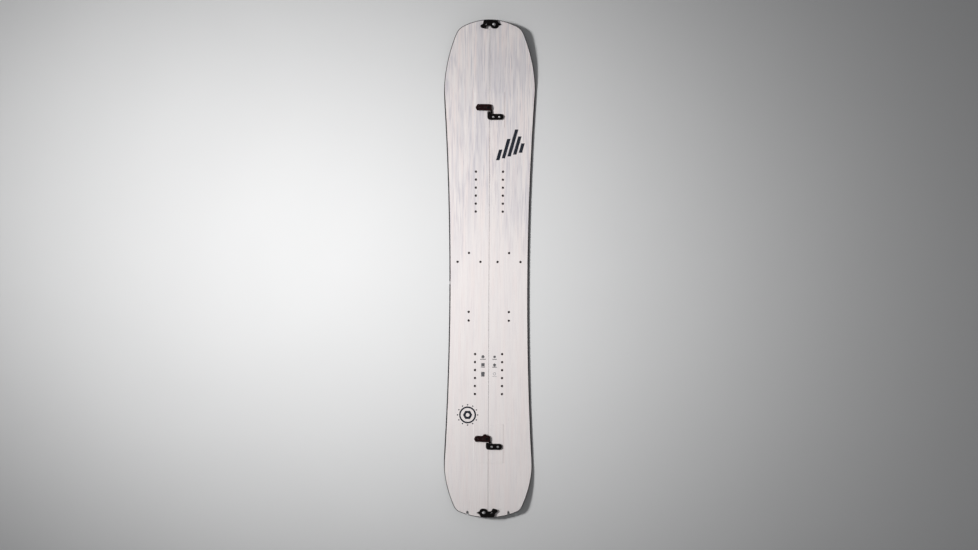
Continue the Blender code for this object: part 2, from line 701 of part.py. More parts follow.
def add_hook(name, rise, frame):
    """The sliding hook: a plate round the lever's hub, with a finger across the seam."""
    outline = rounded(raised(HOOK_CORNERS, rise))
    rest_x = PIVOT[0] - HUB_OFFSET * math.sqrt(0.5)
    reach = HUB_RADIUS + RUNNING_GAP
    slot = arc((rest_x, PIVOT[1] + HUB_OFFSET + 0.2 * MM), reach, 0, 180, 8)
    slot += arc((rest_x, PIVOT[1] + HUB_OFFSET * 0.6), reach, 180, 360, 8)
    add_object(name + "clip_hook", plate([outline, slot], HOOK, PIVOT), "clip", frame, (*PIVOT, 0))


def add_lever(name, corners, frame):
    """The flat lever with its eccentric hub; its origin is on the pivot's axis."""
    outline = rounded(corners)
    holes = [circle(p, SCREW_HEAD + 0.3 * MM, 14) for p in LEVER_SCREWS]
    arm = plate([outline] + holes, LEVER, PIVOT)
    lever = add_object(name + "clip_lever", arm, "lever", frame, (*PIVOT, 0))
    centre = (-HUB_OFFSET * math.sqrt(0.5), HUB_OFFSET * math.sqrt(0.5))
    hub = circle(centre, HUB_RADIUS, 24)
    hub_span = (HOOK[0] + 0.1 * MM, LEVER[0] + MM)
    combine(lever, helper(name + "hub", plate([hub], hub_span), frame, (*PIVOT, 0)), "UNION")
    bore = plate([circle((0, 0), PIVOT_RADIUS + GAP, 16)], (HOOK[0] - MM, LEVER[1] + MM))
    combine(lever, helper(name + "bore", bore, frame, (*PIVOT, 0)), "DIFFERENCE")
    profile = [
        (PIVOT_RADIUS, 0.6 * MM),
        (PIVOT_RADIUS, LEVER[1] + GAP),
        (PIVOT_HEAD, LEVER[1] + GAP),
        (PIVOT_HEAD, LEVER[1] + 0.9 * MM),
        (PIVOT_HEAD - 0.7 * MM, LEVER[1] + 1.3 * MM),
    ]
    add_object(name + "clip_pivot", turned(profile, 16), "clip", frame, (*PIVOT, 0), smooth=True)


def add_catch(name, which, frame):
    """The catch on the right half, whose finger reaches over the seam behind the hook."""
    outline = rounded(raised(CATCH_CORNERS, CATCH_RISE[which]))
    screws = catch_screws(which)
    holes = [circle(p, SCREW_HOLE) for p in screws]
    catch = add_object(name + "clip_catch", plate([outline] + holes, CATCH), "clip", frame)
    reach = 40 * MM
    relief = [(-reach, -reach), (CATCH_RELIEF_X, -reach), (CATCH_RELIEF_X, reach), (-reach, reach)]
    under = plate([relief], (-MM, HOOK[0]))
    combine(catch, helper(name + "relief", under, frame), "DIFFERENCE")
    for i, point in enumerate(screws, 1):
        sink = plate([circle((0, 0), COUNTERBORE, 16)], (BRACKET[1], CATCH[1] + MM))
        combine(catch, helper(f"{name}sink_{i}", sink, frame, (*point, 0)), "DIFFERENCE")
        add_screw(f"{name}catch_screw_{i}", frame, point)


def add_seam_clip(which):
    name = which + "_"
    frame = add_frame(name + "clip_frame", place=(0, CLIP_Y[which], CLIP_ORIGIN_Z))
    add_bracket(name, frame)
    add_hook(name, CATCH_RISE[which], frame)
    add_lever(name, LEVER_CORNERS[which], frame)
    add_catch(name, which, frame)


# ---------------------------------------------------------------- tip hooks


def add_tip_plate(name, outline, post, screw, frame):
    """A base plate with a hole for its post and a flush, cone-headed screw."""
    hole = circle(post, TIP_PLATE_HOLE)
    low, high = [
        [outline, hole, circle(screw, radius + GAP)] for radius in (SCREW_SHANK, SCREW_HEAD)
    ]
    add_object(name, prism(low, high, *TIP_PLATE), "clip", frame)
    profile = [
        (SCREW_SHANK * 0.7, -3.6 * MM),
        (SCREW_SHANK, -3 * MM),
        (SCREW_SHANK, TIP_PLATE[0]),
        (SCREW_HEAD, TIP_PLATE[1]),
    ]
    add_object(name + "_screw", turned(profile), "clip", frame, (*screw, 0), smooth=True)


def add_tip_hook_arm(name, frame):
    """The swivelling hook; its slot's walls are arcs about the pivot, so that it swings off."""
    reach = TIP_STUD[0] - TIP_PIVOT[0]
    finger = math.degrees(math.asin(TIP_SLOT_FINGER / (reach + TIP_SLOT)))
    heel = math.degrees(math.asin(TIP_SLOT_HEEL / (reach - TIP_SLOT)))
    paddle = rounded(TIP_HOOK_CORNERS)
    slot = arc(TIP_PIVOT, reach - TIP_SLOT, -heel, 0, 2)[:-1]
    slot += arc(TIP_STUD, TIP_SLOT, 180, 0, 8)
    slot += arc(TIP_PIVOT, reach + TIP_SLOT, 0, -finger, 2)[1:]
    bore = circle(TIP_PIVOT, TIP_STUD_RADIUS + GAP, 16)
    arm = plate([paddle + slot, bore], TIP_HOOK, TIP_PIVOT)
    add_object(name + "hook", arm, "clip", frame, (*TIP_PIVOT, 0))


def add_tip_posts(name, frame):
    """The hook's shouldered pivot and the headed stud that it holds."""
    foot, seat = 2 * GAP, TIP_PLATE[1] + GAP
    shoulder, top = TIP_HOOK[0] - GAP, TIP_HOOK[1] + GAP
    pivot = [
        (TIP_POST_FOOT, foot), (TIP_POST_FOOT, seat),
        (TIP_PIVOT_COLLAR, seat), (TIP_PIVOT_COLLAR, shoulder),
        (TIP_STUD_RADIUS, shoulder), (TIP_STUD_RADIUS, top), (TIP_PIVOT_HEAD, top),
        (TIP_PIVOT_HEAD, top + 0.6 * MM), (TIP_PIVOT_HEAD - 0.8 * MM, top + MM),
    ]
    stud = [
        (TIP_POST_FOOT, foot), (TIP_POST_FOOT, seat),
        (TIP_STUD_COLLAR, seat), (TIP_STUD_COLLAR, seat + 0.8 * MM),
        (TIP_STUD_RADIUS, seat + 0.8 * MM), (TIP_STUD_RADIUS, top + GAP / 2),
        (TIP_STUD_CAP, top + GAP / 2), (TIP_STUD_CAP, top + 0.8 * MM),
        (TIP_STUD_CAP - 1.2 * MM, top + 1.3 * MM),
    ]
    add_object(name + "hook_pivot", turned(pivot, 16), "clip", frame, (*TIP_PIVOT, 0), smooth=True)
    add_object(name + "stud", turned(stud, 16), "steel", frame, (*TIP_STUD, 0), smooth=True)


def add_tip_hook(which, end):
    """One tip hook; the tail's is the nose's turned half round."""
    name = which + "_"
    top = follows_board(TOPSHEET[1], True)(end * HALF_LENGTH)
    turn = (tip_slope(end), 0, 0 if end > 0 else math.pi)
    frame = add_frame(name + "tip_frame", place=(0, end * HALF_LENGTH, top), turn=turn)
    plates = {"hook_plate": (HOOK_PLATE_CORNERS, TIP_PIVOT), "stud_plate": (STUD_PLATE_CORNERS, TIP_STUD)}
    for plate_name, (corners, post) in plates.items():
        add_tip_plate(name + plate_name, rounded(corners), post, TIP_SCREWS[plate_name], frame)
    add_tip_hook_arm(name, frame)
    add_tip_posts(name, frame)


def main():
    for obj in list(bpy.data.objects):
        bpy.data.objects.remove(obj, do_unlink=True)
    for side_name in SIDES:
        add_half(side_name, add_frame(side_name + "_half_frame"))
    for which in CLIP_Y:
        add_seam_clip(which)
    add_tip_hook("nose", 1)
    add_tip_hook("tail", -1)


main()
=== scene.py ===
"""Looks of the splitboard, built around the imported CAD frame.

Metres, +Z up. X = 0 is the seam, the nose is at +Y and the board lies on Z = 0.
"""

import json
import math

import bmesh
import bpy
import numpy as np
from mathutils import Euler, Matrix, Vector
from mathutils.geometry import delaunay_2d_cdt


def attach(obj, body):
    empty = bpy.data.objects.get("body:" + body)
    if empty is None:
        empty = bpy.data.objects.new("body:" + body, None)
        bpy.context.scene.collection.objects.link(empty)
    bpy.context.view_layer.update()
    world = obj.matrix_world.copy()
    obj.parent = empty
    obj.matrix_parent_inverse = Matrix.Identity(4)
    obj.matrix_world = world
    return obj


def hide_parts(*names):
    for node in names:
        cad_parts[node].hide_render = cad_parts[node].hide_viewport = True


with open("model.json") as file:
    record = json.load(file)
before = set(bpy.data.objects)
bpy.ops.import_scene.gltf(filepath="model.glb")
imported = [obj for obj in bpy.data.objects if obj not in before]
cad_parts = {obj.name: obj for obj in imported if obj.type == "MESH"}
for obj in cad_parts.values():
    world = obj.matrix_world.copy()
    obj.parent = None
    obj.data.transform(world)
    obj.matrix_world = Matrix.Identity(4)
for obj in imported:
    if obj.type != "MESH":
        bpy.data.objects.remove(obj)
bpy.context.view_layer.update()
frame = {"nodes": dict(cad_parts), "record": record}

MM = 0.001
CUT_TOLERANCE = 1e-7
FLAT_NORMAL, WALL_NORMAL = 0.985, 0.15  # upright part of the normal of flat faces and of walls
SHARP_TURN, FLAT_RIM_TURN = math.radians(35), math.radians(2)

# Camera and studio
LENS = 120
CAMERA_HEIGHT = 10.372
CAMERA_AIM = (0, -20 * MM)
CAMERA_ROLL = math.radians(0.26)
KEY_AIM = Vector((-0.522, 0.069, 0))
KEY_PLACE = Vector((-4.5, 0.9, 5.0))
KEY_POWER = 12.7
KEY_SIZE = 1.88
KEY_SPREAD = math.radians(19.9)
SKY = 0.2

# Plan outline of the whole board, as in the CAD
HALF_LENGTH = 790 * MM
WAIST_HALF_WIDTH = 126 * MM
WAIST_Y = -66 * MM
SIDECUT_RADIUS = 9.55
NOSE_WIDEST_Y, TAIL_WIDEST_Y = 552 * MM, -608 * MM
NOSE_FLANK_RADIUS, TAIL_FLANK_RADIUS = 503 * MM, 345 * MM
NOSE_END_RADIUS, TAIL_END_RADIUS = 180 * MM, 240 * MM
FLANK_BLEND = 30 * MM
NOSE_CORNER_X, NOSE_CORNER_Y = 88 * MM, 742 * MM
TAIL_CORNER_X, TAIL_CORNER_Y = 91 * MM, -752 * MM
SEAM_HALF_GAP = 0.3 * MM
NOTCH_X = 65 * MM
NOTCH_RADIUS = 3 * MM
NOTCH_DEPTH = 12 * MM
NOTCH_CLEAR = 5 * MM  # outline points this near to the notch's middle make way for it

# Side profile
NOSE_CONTACT_Y, TAIL_CONTACT_Y = 530 * MM, -585 * MM
TIP_BEND_RADIUS = 450 * MM
TIP_ANGLE = math.radians(10.3)
TIP_THINNING = 2.5 * MM
BEND_STEPS = 18

# Layers, closed up against each other: (underside, top)
BASE = (0.0, 1.35 * MM)
BASE_SOFTENING = 0.1 * MM
EDGE_TOP = 2.2 * MM
SIDEWALL = (2.25 * MM, 7.05 * MM)
UPPER_LAMINATE = (7.05 * MM, 8.05 * MM)
TOPSHEET = (8.05 * MM, 9.0 * MM)
EDGE_WIDTH = 2 * MM
EDGE_CHAMFERS = (0.25 * MM, 0.15 * MM)
SIDEWALL_FOOT, SIDEWALL_HEAD = 0.2 * MM, 1.6 * MM
SIDEWALL_DEPTH = 5 * MM
TOPSHEET_TIP_INSET, TOPSHEET_WAIST_INSET = 2.4 * MM, 4.2 * MM
TOPSHEET_INSET_RUN = 60 * MM
TOPSHEET_SEAM_INSET = 0.05 * MM
TOPSHEET_ROUNDING = 0.35 * MM
EDGE_JOINT_Y, EDGE_JOINT_WIDTH = -45 * MM, 0.5 * MM

# Raised pads under the seam clips
PAD_HEIGHT = 0.4 * MM
PAD_HALF_WIDTH = 48 * MM
PAD_SPANS = ((450 * MM, 561 * MM), (-618 * MM, -494 * MM))
PAD_SLOPE = 1.1 * MM
PAD_STEPS = 4

# Threaded inserts
INSERT_PITCH = 25.4 * MM
BINDING_ROW_X = 43 * MM
BINDING_ROW_COUNT = 6
FRONT_BINDING_Y, REAR_BINDING_Y = 245 * MM, -335 * MM
TOURING_POINTS = ((27.2 * MM, 21.6 * MM), (100 * MM, 21.6 * MM), (63.7 * MM, 50 * MM))
HEEL_POINTS = ((63.9 * MM, -165 * MM), (63.9 * MM, -137.6 * MM))
INSERT_RADIUS = 4.5 * MM
INSERT_LIP = 3.7 * MM
INSERT_TOP = 8.7 * MM
THREAD_RADII = (2.45 * MM, 2.95 * MM)
THREAD_PITCH = 1 * MM
TOPSHEET_HOLE = 3.8 * MM
INSERT_PLATE = (2.5 * MM, 3.3 * MM)
INSERT_PLATE_RADIUS = 7 * MM

# Seam clips, at the height of the pads
CLIP_Y = {"front": 498 * MM, "rear": -555 * MM}
CLIP_ORIGIN_Z = TOPSHEET[1] + PAD_HEIGHT
BRACKET = (0.05 * MM, 2.9 * MM)
HOOK = (3.3 * MM, 5.7 * MM)
LEVER = (6.0 * MM, 8.8 * MM)
CATCH = (0.05 * MM, 5.7 * MM)
PIVOT = (-5 * MM, 14 * MM)
PIVOT_RADIUS = 2.6 * MM
PIVOT_HEAD = 4.7 * MM
HUB_RADIUS = 5.5 * MM
HUB_OFFSET = 1.77 * MM
RUNNING_GAP = 0.45 * MM
LEVER_SCREWS = ((-35 * MM, 14 * MM), (-18.5 * MM, 14 * MM))
CATCH_SCREWS = ((11.1 * MM, -15.6 * MM), (30.5 * MM, -15.6 * MM))
SCREW_SHANK = 2 * MM
SCREW_HOLE = 2.5 * MM
SCREW_HEAD = 3.9 * MM
SCREW_DEPTH = 5.5 * MM
COUNTERBORE = 4.6 * MM
HEXAGON = 6
BRACKET_CORNERS = ((-42, 6, 5), (-3, 6, 3), (-1, 9, 2), (-1, 21, 4), (-39, 22.5, 5), (-43, 17, 4))
HOOK_CORNERS = (
    (-13.7, 5, 3), (1, 4.2, 0.6), (2.6, -5, 1.2), (9.2, -5, 1.5),
    (6.4, 12, 3), (6.4, 24.5, 5), (-13.7, 24.5, 4),
)
LEVER_UNDERSIDE = ((-45.5, 14, 2), (-40, 4.2, 3), (-30, 5.6, 8), (-20, 4.4, 8), (2, 4, 4), (6, 9, 4))
LEVER_CORNERS = {
    "front": LEVER_UNDERSIDE + ((6, 19, 5), (0, 25, 5), (-39, 25, 4)),
    "rear": LEVER_UNDERSIDE + (
        (6, 19, 5), (0, 24.5, 4), (-5, 25.5, 2), (-8, 29.5, 3), (-14, 29.5, 3),
        (-18, 24, 3), (-40, 24, 4),
    ),
}
CATCH_CORNERS = (
    (-7.6, 2, 2), (-7.6, -24.8, 8.5), (43.9, -24.8, 9), (43.9, -5.7, 9), (2.4, -5.7, 1), (0.6, 2, 1.5),
)
CATCH_RISE = {"front": 0, "rear": 4.5}  # how much nearer to its lever each catch sits, in millimetres
CATCH_RELIEF_X = 1 * MM

# Tip hooks, in the plane of the raised tip
TIP_PLATE = (0.05 * MM, 2.3 * MM)
TIP_HOOK = (6.2 * MM, 8.8 * MM)
TIP_PIVOT = (-12.4 * MM, -15.6 * MM)
TIP_STUD = (12.7 * MM, -15.6 * MM)
TIP_STUD_RADIUS = 3.2 * MM
TIP_STUD_COLLAR = 5 * MM
TIP_STUD_CAP = 4.8 * MM
TIP_PIVOT_COLLAR = 6 * MM
TIP_PIVOT_HEAD = 5 * MM
TIP_SLOT = 4.0 * MM
TIP_SLOT_FINGER, TIP_SLOT_HEEL = 2 * MM, 3.8 * MM
TIP_POST_FOOT = 2.7 * MM
TIP_SCREWS = {"hook_plate": (-7.5 * MM, -7 * MM), "stud_plate": (25 * MM, -15.8 * MM)}
HOOK_PLATE_CORNERS = (
    (-1.2, -1.5, 3), (-20.5, -1.5, 3), (-20.5, -22, 4), (-9.5, -22, 3), (-5, -17.5, 2), (-1.2, -17.5, 2),
)
STUD_PLATE_CORNERS = (
    (0.5, -2.2, 6), (22.5, -2.2, 5), (27.5, -11, 2), (37, -16, 1.2), (27, -20.5, 2), (24.5, -29.2, 10),
    (0.5, -29.2, 11.5),
)
TIP_HOOK_CORNERS = (
    (25.2, -17.6, 2), (25.2, -0.9, 8), (-20, -0.9, 4), (-23, -13.5, 3),
    (-32, -19.5, 3), (-28.5, -26, 3), (-15, -29.5, 3.5), (-10.5, -20.4, 3),
)

# Printed marks
INK = (9.005 * MM, 9.03 * MM)
SLANTED_MARK = (62 * MM, 345 * MM)  # the foot of its middle column, before the columns' rise
SLANTED_BARS = (34 * MM, 62 * MM, 86 * MM, 58 * MM, 30 * MM)
SLANTED_PITCH, SLANTED_RISE, SLANTED_WIDTH = 18 * MM, 6 * MM, 11 * MM
SLANTED_LEAN = 0.28
ROUND_MARK = (-66 * MM, -465 * MM)
PICTOGRAM_X = {"left": -18 * MM, "right": 19 * MM}
PICTOGRAM_ROWS = (-282 * MM, -308 * MM, -336 * MM)

SIDES = {"left": -1, "right": 1}
BODY_OF = {n: body for body, nodes in frame["record"]["behaviour"]["bodies"].items() for n in nodes}


# ---------- camera


def link(obj):
    bpy.context.scene.collection.objects.link(obj)


def add_camera():
    """A long lens looking straight down on the board."""
    data = bpy.data.cameras.new("camera")
    data.lens = LENS
    camera = bpy.data.objects.new("camera", data)
    camera.location = (*CAMERA_AIM, CAMERA_HEIGHT)
    camera.rotation_euler = (0, 0, CAMERA_ROLL)
    link(camera)
    bpy.context.scene.camera = camera


# ---------- plan curves


def circle(centre, radius, count=40):
    """Points round a circle, anticlockwise."""
    turns = [2 * math.pi * i / count for i in range(count)]
    return [(centre[0] + radius * math.cos(a), centre[1] + radius * math.sin(a)) for a in turns]


def arc(centre, radius, first, last, steps):
    """Points along an arc from one angle to another, both in degrees."""
    turns = np.radians(np.linspace(first, last, steps + 1))
    return [(centre[0] + radius * math.cos(a), centre[1] + radius * math.sin(a)) for a in turns]


def rounded(corners, steps=9):
    """A closed polygon from (x, y, fillet radius) corners, all in millimetres."""
    points = []
    count = len(corners)
    for i, (x, y, radius) in enumerate(corners):
        corner = Vector((x, y))
        back = (Vector(corners[i - 1][:2]) - corner).normalized()
        ahead = (Vector(corners[(i + 1) % count][:2]) - corner).normalized()
        half = back.angle(ahead) / 2
        centre = corner + (back + ahead).normalized() * radius / math.sin(half)
        start = corner + back * radius / math.tan(half) - centre
        turn = start.angle_signed(corner + ahead * radius / math.tan(half) - centre)
        for step in range(steps + 1):
            points.append(centre + start @ Matrix.Rotation(turn * step / steps, 2))
    return [(p.x * MM, p.y * MM) for p in points]


def rounded_hull(centres, radius, steps=12):
    """The outline round equal circles, whose centres run anticlockwise."""
    points = []
    count = len(centres)
    for i, (x, y) in enumerate(centres):
        before, after = centres[i - 1], centres[(i + 1) % count]
        first = math.atan2(y - before[1], x - before[0]) - math.pi / 2
        last = math.atan2(after[1] - y, after[0] - x) - math.pi / 2
        last += 2 * math.pi if last < first else 0
        points += arc((x, y), radius, math.degrees(first), math.degrees(last), steps)
    return points


def on_circle(centre, radius, y, side):
    """The point of a circle at a height y, and the direction of its tangent there."""
    reach = math.sqrt(radius**2 - (y - centre[1]) ** 2)
    return Vector((centre[0] + side * reach, y)), Vector((-side * (y - centre[1]) / reach, 1))


def on_end(radius, end, x):
    """The point of the nose (end = 1) or tail (end = -1) arc at x, and its tangent."""
    reach = math.sqrt(radius**2 - x**2)
    y = end * (HALF_LENGTH - radius + reach)
    return Vector((x, y)), Vector((1, -end * x / reach))


def blend(start, start_way, end, end_way, steps):
    """A curve from start to end that keeps both tangents; its own ends are left out."""
    control = start + start_way * ((end - start).cross(end_way) / start_way.cross(end_way))
    shares = [i / steps for i in range(1, steps)]
    return [start * (1 - t) ** 2 + control * 2 * t * (1 - t) + end * t**2 for t in shares]


def board_edge():
    """The outer edge of the right half, from the seam at the tail to the seam at the nose."""
    sidecut = ((WAIST_HALF_WIDTH + SIDECUT_RADIUS, WAIST_Y), SIDECUT_RADIUS)

    def cut(y):
        return on_circle(*sidecut, y, -1)

    def tip(end, widest_y, flank_radius, end_radius, corner_x, corner_y):
        widest = cut(widest_y)[0].x
        flank = ((widest - flank_radius, widest_y), flank_radius)
        close = widest_y - end * FLANK_BLEND
        far = widest_y + end * FLANK_BLEND
        points = [on_end(end_radius, end, x)[0] for x in np.linspace(0, corner_x, 26)]
        points += blend(*on_end(end_radius, end, corner_x), *on_circle(*flank, corner_y, 1), 20)
        points += [on_circle(*flank, y, 1)[0] for y in np.linspace(corner_y, far, 20)]
        points += blend(*on_circle(*flank, far, 1), *cut(close), 8)
        return points, close

    tail, tail_close = tip(
        -1, TAIL_WIDEST_Y, TAIL_FLANK_RADIUS, TAIL_END_RADIUS, TAIL_CORNER_X, TAIL_CORNER_Y
    )
    nose, nose_close = tip(
        1, NOSE_WIDEST_Y, NOSE_FLANK_RADIUS, NOSE_END_RADIUS, NOSE_CORNER_X, NOSE_CORNER_Y
    )
    middle = [cut(y)[0] for y in np.linspace(tail_close, nose_close, 60)]
    return np.array([tuple(p) for p in tail + middle + nose[::-1]])


BOARD_EDGE = board_edge()


def inset_line(line, insets):
    """A polyline moved to its left, which is inwards for the edge of the right half."""
    ways = np.diff(line, axis=0)
    ways /= np.linalg.norm(ways, axis=1)[:, None]
    normals = np.column_stack([-ways[:, 1], ways[:, 0]])
    joined = np.vstack([[0, 1], normals[:-1] + normals[1:], [0, -1]])
    joined /= np.linalg.norm(joined, axis=1)[:, None]
    stretch = np.einsum("ij,ij->i", joined, np.vstack([normals, normals[-1:]]))
    stretch[[0, -1]] = 1
    return line + joined * (insets / stretch)[:, None]


def half_outline(inset, waist_inset=None, seam_inset=None):
    """The closed outline of the right half, inset, with the tail notch; it starts at the seam.

    Any inset gives the same number of points, so that outlines can be joined into a wall.
    """
    changes = (
        TAIL_CONTACT_Y - TOPSHEET_INSET_RUN, TAIL_CONTACT_Y, NOSE_CONTACT_Y,
        NOSE_CONTACT_Y + TOPSHEET_INSET_RUN,
    )
    waist = inset if waist_inset is None else waist_inset
    line = inset_line(BOARD_EDGE, np.interp(BOARD_EDGE[:, 1], changes, (inset, waist, waist, inset)))
    seam = SEAM_HALF_GAP + (inset if seam_inset is None else seam_inset)
    start_y = np.interp(seam, line[:3, 0], line[:3, 1])
    end_y = np.interp(seam, line[:-4:-1, 0], line[:-4:-1, 1])
    x, y = BOARD_EDGE.T
    tail = y < TAIL_CORNER_Y
    past_seam = x > EDGE_WIDTH + MM
    before = past_seam & tail & (x < NOTCH_X - NOTCH_CLEAR)
    after = past_seam & (~tail | (x > NOTCH_X + NOTCH_CLEAR))
    radius = NOTCH_RADIUS + inset / 4
    mouth = [
        (NOTCH_X + s * radius, np.interp(NOTCH_X + s * radius, *line[tail].T)) for s in (-1, 1)
    ]
    centre = (NOTCH_X, on_end(TAIL_END_RADIUS, -1, NOTCH_X)[0].y + NOTCH_DEPTH - NOTCH_RADIUS)
    notch = [mouth[0]] + arc(centre, radius, 180, 0, 14) + [mouth[1]]
    rise = [tuple(p) for p in line[after]]
    return [(seam, start_y)] + [tuple(p) for p in line[before]] + notch + rise + [(seam, end_y)]


# ---------- side profile


def bottom_z(y):
    """Height of the board's underside: flat, then a smooth bend into a straight raised tip."""
    beyond = max(y - NOSE_CONTACT_Y, TAIL_CONTACT_Y - y, 0)
    bend = TIP_BEND_RADIUS * math.sin(TIP_ANGLE)
    if beyond < bend:
        return TIP_BEND_RADIUS - math.sqrt(TIP_BEND_RADIUS**2 - beyond**2)
    return TIP_BEND_RADIUS * (1 - math.cos(TIP_ANGLE)) + (beyond - bend) * math.tan(TIP_ANGLE)


def thinning(y):
    ends = (-HALF_LENGTH, TAIL_CONTACT_Y, NOSE_CONTACT_Y, HALF_LENGTH)
    return float(np.interp(y, ends, (TIP_THINNING, 0, 0, TIP_THINNING)))


def tip_slope(end):
    """Angle of the topsheet's plane at the nose (1) or the tail (-1)."""
    contact = NOSE_CONTACT_Y if end > 0 else TAIL_CONTACT_Y
    return math.atan(math.tan(TIP_ANGLE) - TIP_THINNING / (HALF_LENGTH - abs(contact)))


def slice_mesh(bm, across, value, reach=None):
    """Cut a mesh by a plane x = value or y = value, within a range of y if reach gives one."""
    normal = (1, 0, 0) if across == "x" else (0, 1, 0)
    faces = bm.faces[:]
    if reach:
        faces = [f for f in faces if reach[0] < f.calc_center_median().y < reach[1]]
    edges = {e for f in faces for e in f.edges}
    verts = {v for f in faces for v in f.verts}
    bmesh.ops.bisect_plane(
        bm, geom=[*verts, *edges, *faces], dist=CUT_TOLERANCE,
        plane_co=Vector(normal) * value, plane_no=normal,
    )


def lay_on_board(bm, shares):
    """Bend a flat layer onto the side profile; shares say how far its underside and top thin."""
    low, high = min(v.co.z for v in bm.verts), max(v.co.z for v in bm.verts)
    for contact, end in ((TAIL_CONTACT_Y, -1), (NOSE_CONTACT_Y, 1)):
        for step in range(BEND_STEPS + 1):
            along = TIP_BEND_RADIUS * math.sin(TIP_ANGLE * step / BEND_STEPS)
            slice_mesh(bm, "y", contact + end * along)
    for vertex in bm.verts:
        x, y, z = vertex.co
        share = float(np.interp(z, (low, high), shares))
        vertex.co.z = z + bottom_z(y) - thinning(y) * share


# ---------- meshes and pieces


def holds(loop, points):
    """Which of some points a closed loop goes round."""
    x, y = np.array(loop).T
    next_x, next_y = np.roll(x, -1), np.roll(y, -1)
    crosses = (y > points[:, 1:]) != (next_y > points[:, 1:])
    rise = np.where(next_y == y, 1, next_y - y)
    beyond = points[:, :1] < x + (points[:, 1:] - y) * (next_x - x) / rise
    return np.count_nonzero(crosses & beyond, axis=1) % 2 == 1


def triangles_in(loops):
    """Triangles, as indices into the joined loops, that fill the first loop but not the others."""
    points = [Vector(p) for loop in loops for p in loop]
    edges = []
    start = 0
    for loop in loops:
        edges += [(start + i, start + (i + 1) % len(loop)) for i in range(len(loop))]
        start += len(loop)
    _, _, faces, sources, _, _ = delaunay_2d_cdt(points, edges, [], 0, 1e-9)
    found = np.array([[sources[i][0] for i in face] for face in faces])
    middles = np.array([tuple(p) for p in points])[found].mean(axis=1)
    kept = holds(loops[0], middles)
    for hole in loops[1:]:
        kept &= ~holds(hole, middles)
    return found[kept].tolist()


def solid(levels):
    """A closed solid from levels of (loops, height); loops after the first are holes."""
    bm = bmesh.new()
    close_up(bm, [[[bm.verts.new((*p, z)) for p in loop] for loop in loops] for loops, z in levels])
    return bm


def close_up(bm, rows):
    """Walls between rows of vertex loops, and a cap on the first and the last row."""
    for below, above in zip(rows, rows[1:]):
        for low, high in zip(below, above):
            join_rings(bm, low, high)
    for row in (rows[0], rows[-1]):
        add_cap(bm, row)


def join_rings(bm, low, high):
    for i in range(len(low)):
        j = (i + 1) % len(low)
        bm.faces.new([low[i], low[j], high[j], high[i]])


def add_cap(bm, loops):
    """Triangles between an outline of vertices and the holes in it."""
    flat = [v for loop in loops for v in loop]
    for corners in triangles_in([[v.co.xy for v in loop] for loop in loops]):
        bm.faces.new([flat[i] for i in corners])


def merge(bm, other):
    """Add another mesh to this one and free the other."""
    mesh = bpy.data.meshes.new("merged")
    other.to_mesh(mesh)
    other.free()
    bm.from_mesh(mesh)
    bpy.data.meshes.remove(mesh)


def inset_loop(loop, inset):
    """A closed loop moved inwards, or outwards where the inset is negative."""
    line = np.array(loop)
    ahead = np.roll(line, -1, axis=0)
    ways = ahead - line
    ways /= np.linalg.norm(ways, axis=1)[:, None]
    normals = np.column_stack([-ways[:, 1], ways[:, 0]])
    joined = normals + np.roll(normals, 1, axis=0)
    joined /= np.linalg.norm(joined, axis=1)[:, None]
    stretch = np.einsum("ij,ij->i", joined, normals)
    area = np.sum(line[:, 0] * ahead[:, 1] - ahead[:, 0] * line[:, 1])
    return [tuple(p) for p in line + joined * (inset * np.sign(area) / stretch)[:, None]]


def rounding(radius, height, steps=4):
    """(inset, height) steps of a quarter round that ends, radius further in, at height."""
    turns = [math.pi / 2 * i / steps for i in range(steps + 1)]
    return [(radius * (1 - math.cos(a)), height - radius * (1 - math.sin(a))) for a in turns]


def plate(loops, span, head=0.5 * MM, foot=0.2 * MM, hole_head=0.3 * MM):
    """A flat piece with rounded rims, from an outline and holes."""
    low, high = span
    sizes = [head] + [hole_head] * (len(loops) - 1)
    rims = [[(foot, low), (0, low + foot)] + rounding(size, high) for size in sizes]
    bm = bmesh.new()
    rows = []
    for level in zip(*rims):
        row = []
        for number, (loop, (inset, z)) in enumerate(zip(loops, level)):
            moved = inset_loop(loop, inset * (-1 if number else 1))
            row.append([bm.verts.new((*p, z)) for p in moved])
        rows.append(row)
    close_up(bm, rows)
    return bm


def ring(bm, centre, radius, height, segments, sides=0):
    """A ring of vertices, round or, with sides, a polygon of that radius across its flats."""
    verts = []
    for i in range(segments):
        turn = 2 * math.pi * i / segments
        reach = radius
        if sides:
            part = 2 * math.pi / sides
            reach = radius / math.cos((turn + part / 2) % part - part / 2)
        x, y = centre[0] + reach * math.cos(turn), centre[1] + reach * math.sin(turn)
        verts.append(bm.verts.new((x, y, height)))
    return verts


def turn_profile(bm, centre, profile, segments=36, closed=False):
    """A solid turned about an upright axis from (radius, height[, sides]) points.

    A closed profile makes a tube; another one is capped at both ends.
    """
    rows = [ring(bm, centre, point[0], point[1], segments, *point[2:]) for point in profile]
    for below, above in zip(rows, rows[1:]):
        join_rings(bm, below, above)
    if closed:
        join_rings(bm, rows[-1], rows[0])
    else:
        bm.faces.new(rows[0])
        bm.faces.new(rows[-1])


def turned(centre, profile, segments=48):
    bm = bmesh.new()
    turn_profile(bm, centre, profile, segments)
    return bm


def dome(outer, inner, foot, rise, steps=5):
    """(radius, height) points of a domed head, from its outer radius up to its inner one."""
    turns = [math.pi / 2 * i / steps for i in range(steps + 1)]
    return [(inner + (outer - inner) * math.cos(a), foot + rise * math.sin(a)) for a in turns]


